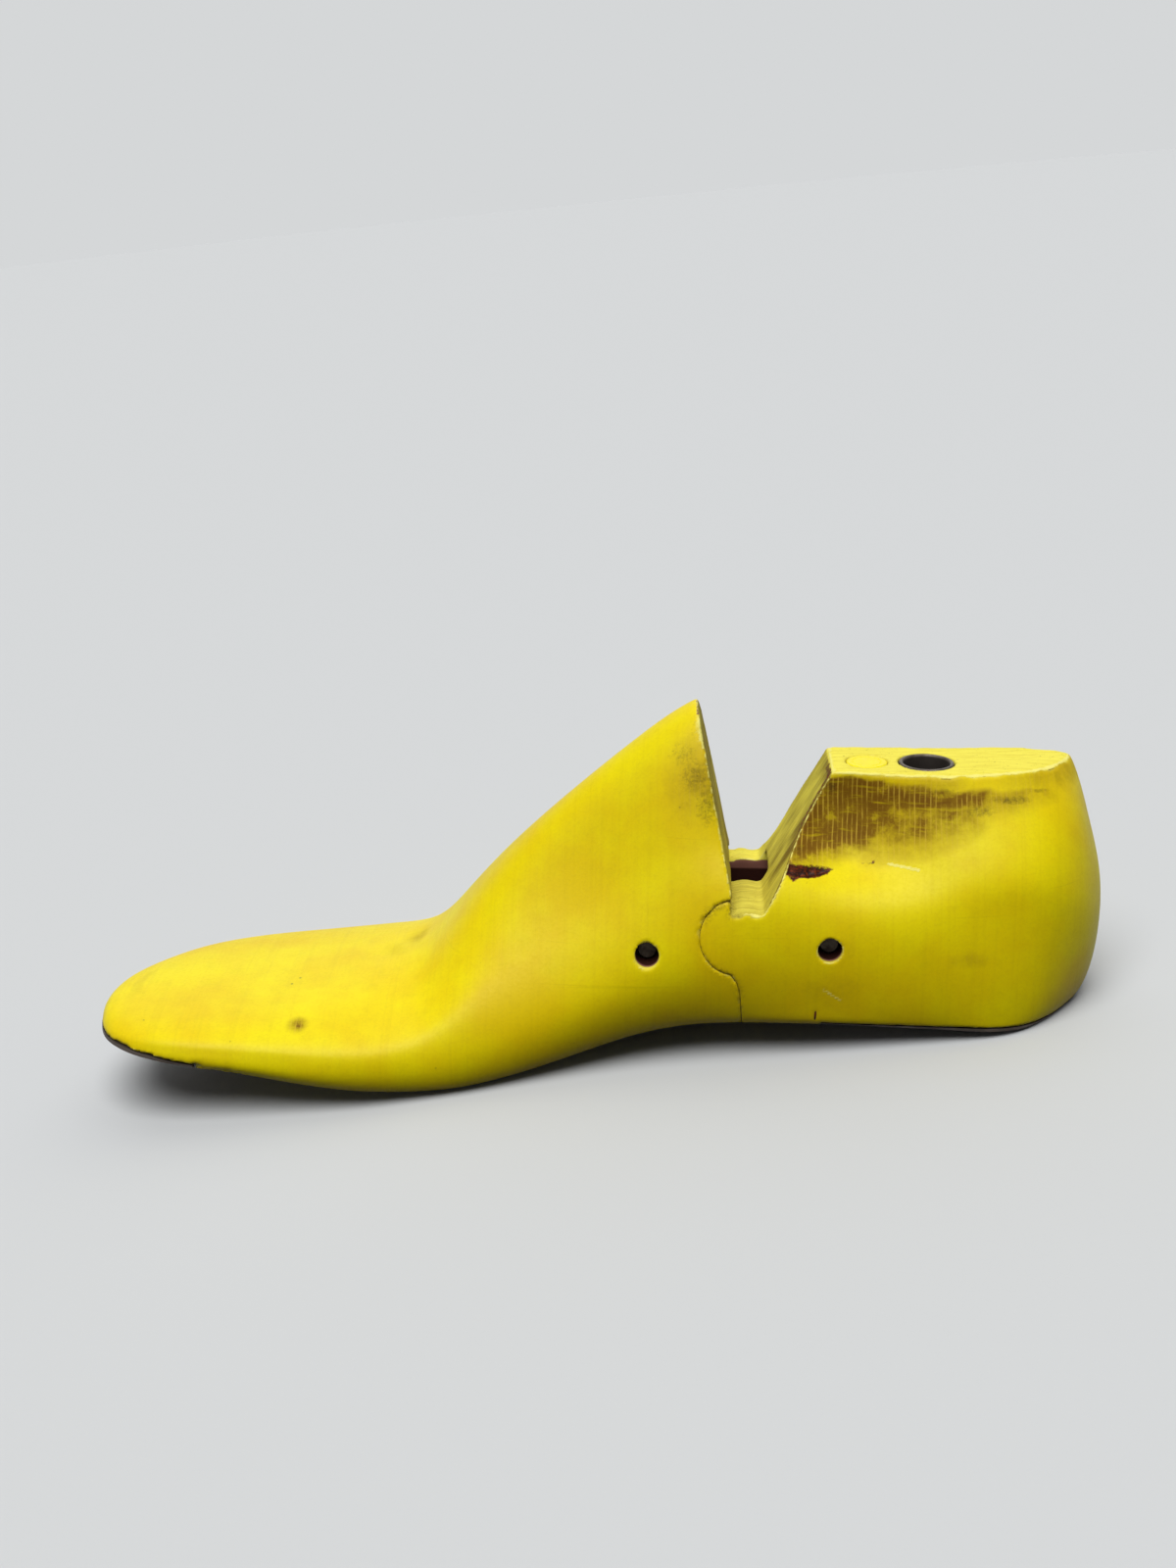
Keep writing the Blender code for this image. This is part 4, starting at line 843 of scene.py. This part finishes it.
    # relief in millimetres
    relief = addNode(tree, "ShaderNodeMath", {0: rings, 1: 0.03}, operation="MULTIPLY")
    for source, height in ((fine, 0.03), (scrape, -0.06)):
        relief = addNode(tree, "ShaderNodeMath", {0: source, 1: height, 2: relief}, operation="MULTIPLY_ADD")
    sawnRelief = addNode(tree, "ShaderNodeMath", {0: drag, 1: 0.16}, operation="MULTIPLY")
    relief = addNode(tree, "ShaderNodeMix", {0: masks["sawn"], 2: relief, 3: sawnRelief}, data_type="FLOAT")
    wornRelief = addNode(tree, "ShaderNodeMath", {0: rubbed, 1: grains}, operation="MULTIPLY")
    relief = addNode(tree, "ShaderNodeMath", {0: wornRelief, 1: 0.15, 2: relief}, operation="MULTIPLY_ADD")
    return finishMaterial(material, tree, shader, colour, rough, relief)


# old grease with painted shade, for the thimble's bore
boreShadeAndGrease = "#1A110C"  # in the thimble's bore


def makeSteel(name, look):
    # steel with a drawn or rolled grain, an oxide bloom, rust where it is handled least, and old grease
    # where nothing rubs it off, darker deeper in a bore as painted shade
    material, tree, shader = newMaterial(name)
    mm = lastCoordinates(tree)
    grain = addNode(tree, "ShaderNodeMapping", {"Vector": mm, "Scale": look["grain"]})
    grain = addNode(tree, "ShaderNodeTexNoise", {"Vector": grain, "Scale": 1.0, "Detail": 3.0, "Roughness": 0.6})
    bloom = addNode(tree, "ShaderNodeTexNoise", {
        "Vector": mm, "Scale": look["bloom"], "Detail": 5.0, "Roughness": 0.7})
    oxide = addNode(tree, "ShaderNodeMapRange", {
        "Value": bloom, "From Min": 0.62, "From Max": 0.38, "To Max": look["oxideShare"]})
    pits = addNode(tree, "ShaderNodeTexNoise", {"Vector": mm, "Scale": 0.6, "Detail": 6.0, "Roughness": 0.75})
    rust = addNode(tree, "ShaderNodeMapRange", {
        "Value": pits, "From Min": 0.56, "From Max": 0.68, "To Max": look["rustShare"]})
    greaseAndShade = addNode(tree, "ShaderNodeAttribute", attribute_name="hollow", take="Fac")
    colour = hexColour(look["metal"])
    for amount, over in ((oxide, look["oxide"]), (rust, look["rust"]), (greaseAndShade, boreShadeAndGrease)):
        colour = addNode(tree, "ShaderNodeMix", {0: amount, 6: colour, 7: hexColour(over)}, 2, data_type="RGBA")
    rust = addNode(tree, "ShaderNodeMath", {0: rust, 1: greaseAndShade}, operation="MAXIMUM")
    tree.links.new(addNode(tree, "ShaderNodeMapRange", {
        "Value": rust, "To Min": look["metallic"], "To Max": 0.25}), shader.inputs["Metallic"])
    rough = addNode(tree, "ShaderNodeMapRange", {
        "Value": grain, "From Min": 0.3, "From Max": 0.7,
        "To Min": look["roughness"] - 0.08, "To Max": look["roughness"] + 0.1})
    rough = addNode(tree, "ShaderNodeMath", {0: rust, 1: 0.3, 2: rough}, operation="MULTIPLY_ADD", use_clamp=True)
    relief = addNode(tree, "ShaderNodeMath", {0: grain, 1: 0.02}, operation="MULTIPLY")
    relief = addNode(tree, "ShaderNodeMath", {0: rust, 1: 0.05, 2: relief}, operation="MULTIPLY_ADD")
    return finishMaterial(material, tree, shader, colour, rough, relief)


steels = {
    # rolled sheet, oxidised dark brown and rubbed on the bench
    "rolledSheetSteel": {"metal": "#5E544C", "oxide": "#2A211C", "rust": "#5B3219", "grain": (0.15, 1.6, 1.6),
                         "bloom": 0.08, "oxideShare": 0.9, "rustShare": 0.6, "metallic": 0.75, "roughness": 0.50},
    # drawn tube, dull inside, bright on its rim
    "drawnTubeSteel": {"metal": "#6E665C", "oxide": "#3A2F27", "rust": "#6A4326", "grain": (1.5, 1.5, 0.12),
                       "bloom": 0.25, "oxideShare": 0.7, "rustShare": 0.5, "metallic": 0.9, "roughness": 0.42},
    # nail heads filed level with the plate
    "filedNailSteel": {"metal": "#8E8981", "oxide": "#4C443C", "rust": "#6B3E20", "grain": (2.4, 0.3, 0.3),
                       "bloom": 0.5, "oxideShare": 0.6, "rustShare": 0.45, "metallic": 0.95, "roughness": 0.40},
    # drawn rod, cut and driven in
    "drawnRodSteel": {"metal": "#4A433C", "oxide": "#231C17", "rust": "#4A2A17", "grain": (1.6, 0.15, 1.6),
                      "bloom": 0.4, "oxideShare": 0.8, "rustShare": 0.5, "metallic": 0.9, "roughness": 0.48},
    # bent wire of the draw hooks
    "bentWireSteel": {"metal": "#7C766E", "oxide": "#3E3832", "rust": "#65401F", "grain": (0.2, 1.8, 1.8),
                      "bloom": 0.3, "oxideShare": 0.6, "rustShare": 0.35, "metallic": 0.95, "roughness": 0.40},
    # hardened spring wire, blued and oiled
    "bluedSpringSteel": {"metal": "#4B4E55", "oxide": "#23242A", "rust": "#553420", "grain": (1.2, 1.2, 1.2),
                         "bloom": 0.3, "oxideShare": 0.7, "rustShare": 0.25, "metallic": 0.95, "roughness": 0.34},
}
steel = {name: makeSteel(name, look) for name, look in steels.items()}
yellowPlastic = makePolyethylene("turnedPolyethylene", polyethylene)
print("materials made")


def newTree(name, inputs):
    # an empty geometry tree that takes a mesh and named sizes
    tree = bpy.data.node_groups.new(name, "GeometryNodeTree")
    tree.interface.new_socket("Geometry", in_out="INPUT", socket_type="NodeSocketGeometry")
    for label, kind in inputs:
        tree.interface.new_socket(label, in_out="INPUT", socket_type=kind)
    tree.interface.new_socket("Geometry", in_out="OUTPUT", socket_type="NodeSocketGeometry")
    return tree, tree.nodes.new("NodeGroupInput").outputs


def closeTree(tree, geometry, material):
    geometry = addNode(tree, "GeometryNodeRealizeInstances", {"Geometry": geometry})
    geometry = addNode(tree, "GeometryNodeSetMaterial", {"Geometry": geometry, "Material": material})
    addNode(tree, "NodeGroupOutput", {0: geometry})


def grown(name, mesh, tree, sizes):
    # the mesh that a geometry tree grows from another, with its modifier gone
    obj = meshObject(name, mesh)
    modifier = obj.modifiers.new(name, "NODES")
    modifier.node_group = tree
    for item in tree.interface.items_tree:
        if item.in_out == "INPUT" and item.name in sizes:
            modifier[item.identifier] = sizes[item.name]
    return plainMesh(obj)


def addPiece(name, mesh, body, nodes, material=None, sharpAngle=35.0):
    # a finished mesh goes to its place in the world, rides its body and stands for its CAD nodes
    mesh.transform(restPlace)
    mesh.name = name
    if material is not None:
        mesh.materials.clear()
        mesh.materials.append(material)
    mesh.shade_smooth()
    if sharpAngle:
        mesh.set_sharp_from_angle(angle=math.radians(sharpAngle))
    piece = meshObject(name, mesh)
    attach(piece, body)
    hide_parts(*nodes)


addPiece("forepartBody", foreSkin["mesh"], "forepart", ["forepart"], yellowPlastic, 0)
addPiece("heelBody", heelSkin["mesh"], "heel", ["heel_part"], yellowPlastic, 0)

# steel plates cut to the last's outline, drilled for their nails
for name, line, nails, body, ends in (
        ("heelPlate", plates["heelLine"], plates["heelNails"], "heel", (gap, 0.0)),
        ("toePlate", plates["toeLine"], plates["toeNails"], "forepart", (0.0, -gap))):
    run = [(line[0][0] + ends[0], line[0][1])] + list(line[1:-1]) + [(line[-1][0] + ends[1], line[-1][1])]
    wide, narrow = 0.5 * plates["headDiameter"] + 0.12, 0.5 * plates["shankDiameter"] + 0.15
    sunk = [(0.0, -1.0), (wide, -1.0), (wide, 0.0), (narrow, plates["headDepth"]), (narrow, 3.0), (0.0, 3.0)]
    holes = [turnedMesh("hole", sunk, 32, nailPlace(line, x, y)) for x, y in nails]
    band = slabMesh(name, plateBand(run, 0.0, saw["plateThickness"]), -reach, reach)
    sheet = cutBy(name, cutBy(name, blank, [band], "INTERSECT"), holes)
    addPiece(name, sheet, body, ["heel_plate" if body == "heel" else "toe_plate"],
             steel["rolledSheetSteel"])

# nails: a countersunk head, a shank and a point, set on each place of the plates
nailTree, socket = newTree("plateNails", [
    ("Head Diameter", "NodeSocketFloat"), ("Shank Diameter", "NodeSocketFloat"), ("Length", "NodeSocketFloat"),
    ("Point Length", "NodeSocketFloat"), ("Head Depth", "NodeSocketFloat"), ("Sides", "NodeSocketInt")])
headRadius, shankRadius = (
    addNode(nailTree, "ShaderNodeMath", {0: socket[key], 1: 0.5}, operation="MULTIPLY")
    for key in ("Head Diameter", "Shank Diameter"))
pointStart = addNode(
    nailTree, "ShaderNodeMath", {0: socket["Length"], 1: socket["Point Length"]}, operation="SUBTRACT")
shankLength = addNode(nailTree, "ShaderNodeMath", {0: pointStart, 1: socket["Head Depth"]}, operation="SUBTRACT")
shapes = [addNode(
    nailTree, "GeometryNodeMeshCircle", {"Vertices": socket["Sides"], "Radius": headRadius}, fill_type="NGON")]
for bottom, top, depth, start in (
        (headRadius, shankRadius, socket["Head Depth"], 0.0),
        (shankRadius, shankRadius, shankLength, socket["Head Depth"]),
        (shankRadius, 0.0, socket["Point Length"], pointStart)):
    cone = addNode(nailTree, "GeometryNodeMeshCone", {
        "Vertices": socket["Sides"], "Radius Bottom": bottom, "Radius Top": top, "Depth": depth}, fill_type="NONE")
    shapes.append(addNode(nailTree, "GeometryNodeTransform", {
        "Geometry": cone, "Translation": addNode(nailTree, "ShaderNodeCombineXYZ", {"Z": start})}))
joined = nailTree.nodes.new("GeometryNodeJoinGeometry")
for shape in shapes:
    nailTree.links.new(shape, joined.inputs[0])
driven = addNode(nailTree, "GeometryNodeInstanceOnPoints", {
    "Points": addNode(nailTree, "GeometryNodeMeshToPoints", {"Mesh": socket["Geometry"]}),
    "Instance": joined.outputs[0],
    "Rotation": addNode(nailTree, "GeometryNodeInputNamedAttribute", {"Name": "lean"}, data_type="FLOAT_VECTOR")})
closeTree(nailTree, driven, steel["filedNailSteel"])
for name, line, nails, length, body, stem in (
        ("heelNails", plates["heelLine"], plates["heelNails"], plates["heelNailLength"], "heel", "heel_nail_"),
        ("toeNails", plates["toeLine"], plates["toeNails"], plates["toeNailLength"], "forepart", "toe_nail_")):
    seats = [nailPlace(line, x, y) for x, y in nails]
    mesh = bpy.data.meshes.new(name)
    mesh.from_pydata([seat.to_translation() for seat in seats], [], [])
    lean = mesh.attributes.new("lean", "FLOAT_VECTOR", "POINT")
    lean.data.foreach_set("vector", [value for seat in seats for value in seat.to_euler()])
    mesh = cleaned(grown(name, mesh, nailTree, {
        "Head Diameter": plates["headDiameter"], "Shank Diameter": plates["shankDiameter"], "Length": length,
        "Point Length": 2.4, "Head Depth": plates["headDepth"], "Sides": 24}), 0.0005)
    addPiece(name, mesh, body, [f"{stem}{i}" for i in range(1, len(nails) + 1)])
print("plates nailed")

# thimble: a steel tube with its rim turned smooth
outer, inner, length = 0.5 * fittings["thimbleOuter"], 0.5 * fittings["thimbleInner"], fittings["thimbleLength"]
profile = [
    (outer - 0.5, 0.0), (outer - 0.18, -0.12), (outer, -0.5), (outer, 0.4 - length), (outer - 0.4, -length),
    (inner + 0.2, -length), (inner, -length + 0.2), (inner, -0.7), (inner + 0.12, -0.28), (inner + 0.4, 0.0),
    (outer - 0.5, 0.0)]
thimble = turnedMesh("jackThimble", profile, 96)
points = pointsOf(thimble)
# the bore darkens from its rim down: painted shade with old grease
inBore = np.hypot(points[:, 0], points[:, 1]) < inner + 0.3
addMasks(thimble, hollow=inBore * smoothStep(0.1, -0.9, points[:, 2]))
thimble.transform(Matrix.Translation((fittings["thimbleX"], 0.0, coneTop)))
addPiece("jackThimble", thimble, "heel", ["jack_thimble"], steel["drawnTubeSteel"], 50)

# plug: a round of brighter plastic planed off with the cone, a fine groove pressed near its edge
radius = 0.5 * fittings["plugDiameter"]
profile = [
    (0.0, 0.0), (radius - 1.75, 0.0), (radius - 1.6, -0.12), (radius - 1.45, 0.0), (radius - 0.3, -0.02),
    (radius, -0.25), (radius, 0.4 - fittings["plugLength"]), (radius - 0.4, -fittings["plugLength"]),
    (0.0, -fittings["plugLength"])]
plug = turnedMesh("markerPlug", profile, 96, Matrix.Translation((fittings["plugX"], 0.0, coneTop - 0.1)))
plugLook = dict(polyethylene, bright="#FAEC08", deep="#F5E400", ringShade="#E4CC04", roughness=0.36, sawnRoughness=0.6)
addPiece("markerPlug", plug, "heel", ["marker_plug"],
         makePolyethylene("mouldedPlugPolyethylene", plugLook))

# cross pins: cropped rods with a chamfer and a slightly dished end
for name, (x, z), (low, high), body, node in (
        ("frontPin", frontPin, fittings["frontPinSpan"], "forepart", "front_pin"),
        ("rearPin", rearPin, fittings["rearPinSpan"], "heel", "rear_pin")):
    radius, length = 0.5 * fittings["pinDiameter"], high - low
    profile = [
        (0.0, length - 0.15), (0.5 * radius, length - 0.1), (radius - 0.6, length), (radius, length - 0.6),
        (radius, 0.6), (radius - 0.6, 0.0), (0.5 * radius, 0.1), (0.0, 0.15)]
    seat = Matrix.Translation((x, low, z)) @ Matrix.Rotation(-math.pi / 2, 4, "X")
    addPiece(name, turnedMesh(name, profile, 64, seat), body, [node], steel["drawnRodSteel"])

# spring link: two bent wires that squeeze a coil between them
link = {
    "wireRadius": 1.0, "offset": 1.3, "legRise": 2.2, "footRise": 5.6, "bend": 1.5, "neck": 7.2, "gap": 0.3,
    "stretch": 0.75, "coilDiameter": 12.0, "turns": 8, "coilSpan": (-11.6, 12.3), "pointsATurn": 32,
}


def wireAlong(tree, socket, curve, material):
    # a round wire along a curve ends the tree
    section = addNode(tree, "GeometryNodeCurvePrimitiveCircle", {
        "Resolution": socket["Sides"], "Radius": socket["Wire Radius"]})
    wire = addNode(tree, "GeometryNodeCurveToMesh", {"Curve": curve, "Profile Curve": section, "Fill Caps": True})
    closeTree(tree, wire, material)


wireTree, socket = newTree("bentWire", [("Wire Radius", "NodeSocketFloat"), ("Sides", "NodeSocketInt")])
wireAlong(wireTree, socket, addNode(wireTree, "GeometryNodeMeshToCurve", {"Mesh": socket["Geometry"]}),
          steel["bentWireSteel"])


def hookPath(foot):
    # foot, leg, neck and the eye round the pin at the origin, then the same back
    eyeRadius = 0.5 * fittings["pinDiameter"] + link["gap"] + link["wireRadius"]
    neckAngle = math.atan2(link["legRise"], link["neck"])
    tangent = neckAngle + math.acos(eyeRadius / math.hypot(link["neck"], link["legRise"]))
    middle = (foot - link["bend"], link["legRise"] + link["bend"])
    bend = [(middle[0] + x, middle[1] + z) for x, z in arc(link["bend"], 0.0, -90.0, 12)]
    upper = [(foot, link["footRise"])] + bend + [(link["neck"], link["legRise"])]
    eye = arc(eyeRadius, math.degrees(tangent), 360.0 - math.degrees(tangent), 48)
    path = upper + eye + [(x, -z) for x, z in reversed(upper)]
    return [(x, -link["offset"], z) for x, z in path]


clear = 2 * link["wireRadius"] + link["gap"]
along = Matrix.Rotation(-linkAngle, 4, "Y")
front, rear = Vector((frontPin[0], 0.0, frontPin[1])), Vector((rearPin[0], 0.0, rearPin[1]))
hooks = (
    ("frontHook", linkLength / 2 + link["coilSpan"][1] + clear, Matrix.Translation(front) @ along, "front_link",
     "front_hook"),
    ("rearHook", linkLength / 2 - link["coilSpan"][0] + clear + link["stretch"],
     Matrix.Translation(rear) @ along @ Matrix.Rotation(math.pi, 4, "Z"), "rear_link", "rear_hook"))
for name, foot, seat, body, node in hooks:
    path = hookPath(foot)
    mesh = bpy.data.meshes.new(name)
    mesh.from_pydata(path, [(i, i + 1) for i in range(len(path) - 1)], [])
    mesh = cleaned(grown(name, mesh, wireTree, {"Wire Radius": link["wireRadius"], "Sides": 16}), 0.0005)
    mesh.transform(seat)
    addPiece(name, mesh, body, [node], sharpAngle=50)

coilTree, socket = newTree("linkCoil", [
    ("Turns", "NodeSocketFloat"), ("Coil Radius", "NodeSocketFloat"), ("Length", "NodeSocketFloat"),
    ("Wire Radius", "NodeSocketFloat"), ("Points a Turn", "NodeSocketInt"), ("Sides", "NodeSocketInt")])
coil = addNode(coilTree, "GeometryNodeCurveSpiral", {
    "Resolution": socket["Points a Turn"], "Rotations": socket["Turns"], "Start Radius": socket["Coil Radius"],
    "End Radius": socket["Coil Radius"], "Height": socket["Length"]})
wireAlong(coilTree, socket, coil, steel["bluedSpringSteel"])
coilLength = link["coilSpan"][1] - link["coilSpan"][0]
coilMesh = grown("linkSpring", bpy.data.meshes.new("linkSpring"), coilTree, {
    "Turns": float(link["turns"]), "Coil Radius": 0.5 * link["coilDiameter"] - link["wireRadius"],
    "Length": coilLength, "Wire Radius": link["wireRadius"], "Points a Turn": link["pointsATurn"], "Sides": 12})
coilMesh = cleaned(coilMesh, 0.0005)
coilMesh.transform(Matrix.Translation((front + rear) / 2) @ along
                   @ Matrix.Translation((link["coilSpan"][0], 0, 0)) @ Matrix.Rotation(math.pi / 2, 4, "Y"))
addPiece("linkSpring", coilMesh, "front_link", ["link_spring"], sharpAngle=50)
print("link fitted")

# a pale floor under plain studio light: direction, power and spread of each lamp
studio = {
    "floor": "#CFD1D2", "floorBounce": "#242526", "backdrop": "#D5D7D8", "world": "#FFFFFF", "ambient": 0.12,
    "radius": 4.0, "around": 95, "level": -0.00005, "paperRoughness": 0.85,
    "lamps": {"key": ((-0.02, -0.42, 0.9), 2.7, 45.0), "fill": ((0.1, 0.62, 0.78), 0.75, 70.0)},
}


def seenRay(tree):
    # 1 for what the eye, a reflection or a look through glass meets
    rays = tree.nodes.new("ShaderNodeLightPath").outputs
    seen = rays["Is Camera Ray"]
    for ray in ("Is Glossy Ray", "Is Transmission Ray"):
        seen = addNode(tree, "ShaderNodeMath", {0: seen, 1: rays[ray]}, operation="MAXIMUM")
    return seen


# matt paper that looks pale, while little of its light reaches the last's underside
material, tree, shader = newMaterial("mattPaper")
paper = addNode(tree, "ShaderNodeTexNoise", {
    "Vector": addNode(tree, "ShaderNodeTexCoord", take="Object"), "Scale": 900.0, "Detail": 2.0})
tree.links.new(addNode(tree, "ShaderNodeBump", {"Height": paper, "Distance": 0.00005, "Strength": 0.4}),
               shader.inputs["Normal"])
tree.links.new(addNode(tree, "ShaderNodeMix", {
    0: seenRay(tree), 6: hexColour(studio["floorBounce"]), 7: hexColour(studio["floor"])}, 2, data_type="RGBA"),
    shader.inputs["Base Color"])
shader.inputs["Roughness"].default_value = studio["paperRoughness"]
shader.inputs["Specular IOR Level"].default_value = 0.0
mesh = bpy.data.meshes.new("floor")
rim = arc(studio["radius"], 0.0, 360.0, studio["around"] + 1)[:-1]
mesh.from_pydata([(x, y, studio["level"]) for x, y in rim], [], [list(range(len(rim)))])
mesh.materials.append(material)
meshObject("floor", mesh)

# the backdrop has the lit floor's tone, and a plain white world lights the last
world = bpy.data.worlds.new("studio")
scene.world = world
world.use_nodes = True
tree = world.node_tree
tree.nodes["Background"].inputs["Color"].default_value = hexColour(studio["world"])
tree.nodes["Background"].inputs["Strength"].default_value = studio["ambient"]
backdrop = addNode(tree, "ShaderNodeBackground", {"Color": hexColour(studio["backdrop"]), "Strength": 1.0})
tree.links.new(addNode(tree, "ShaderNodeMixShader", {
    0: seenRay(tree), 1: tree.nodes["Background"].outputs[0], 2: backdrop}),
    tree.nodes["World Output"].inputs["Surface"])
for name, (direction, power, spread) in studio["lamps"].items():
    lamp = bpy.data.lights.new(name, "SUN")
    lamp.energy = power
    lamp.angle = math.radians(spread)
    light = bpy.data.objects.new(name, lamp)
    scene.collection.objects.link(light)
    light.rotation_euler = (-Vector(direction)).to_track_quat("-Z", "Y").to_euler()

# the photograph's view, set in the last's own frame
view = {"place": (-16.46, -558.25, 218.2), "yaw": 2.5, "pitch": 18.54, "lens": 49.5}
yaw, pitch = math.radians(view["yaw"]), math.radians(view["pitch"])
ahead = Vector((-math.sin(yaw) * math.cos(pitch), math.cos(yaw) * math.cos(pitch), -math.sin(pitch)))
across = Vector((math.cos(yaw), math.sin(yaw), 0.0))
axes = Matrix((across, across.cross(ahead), -ahead)).transposed().to_4x4()
camera = bpy.data.objects.new("camera", bpy.data.cameras.new("camera"))
scene.collection.objects.link(camera)
camera.matrix_world = (Matrix.Translation(restPlace @ Vector(view["place"]))
                       @ Matrix.Rotation(tilt, 4, "Y") @ axes)
camera.data.lens = view["lens"]
camera.data.sensor_width = 36.0
camera.data.clip_start = 0.01
scene.camera = camera
scene.view_settings.view_transform = "Standard"

print("set")
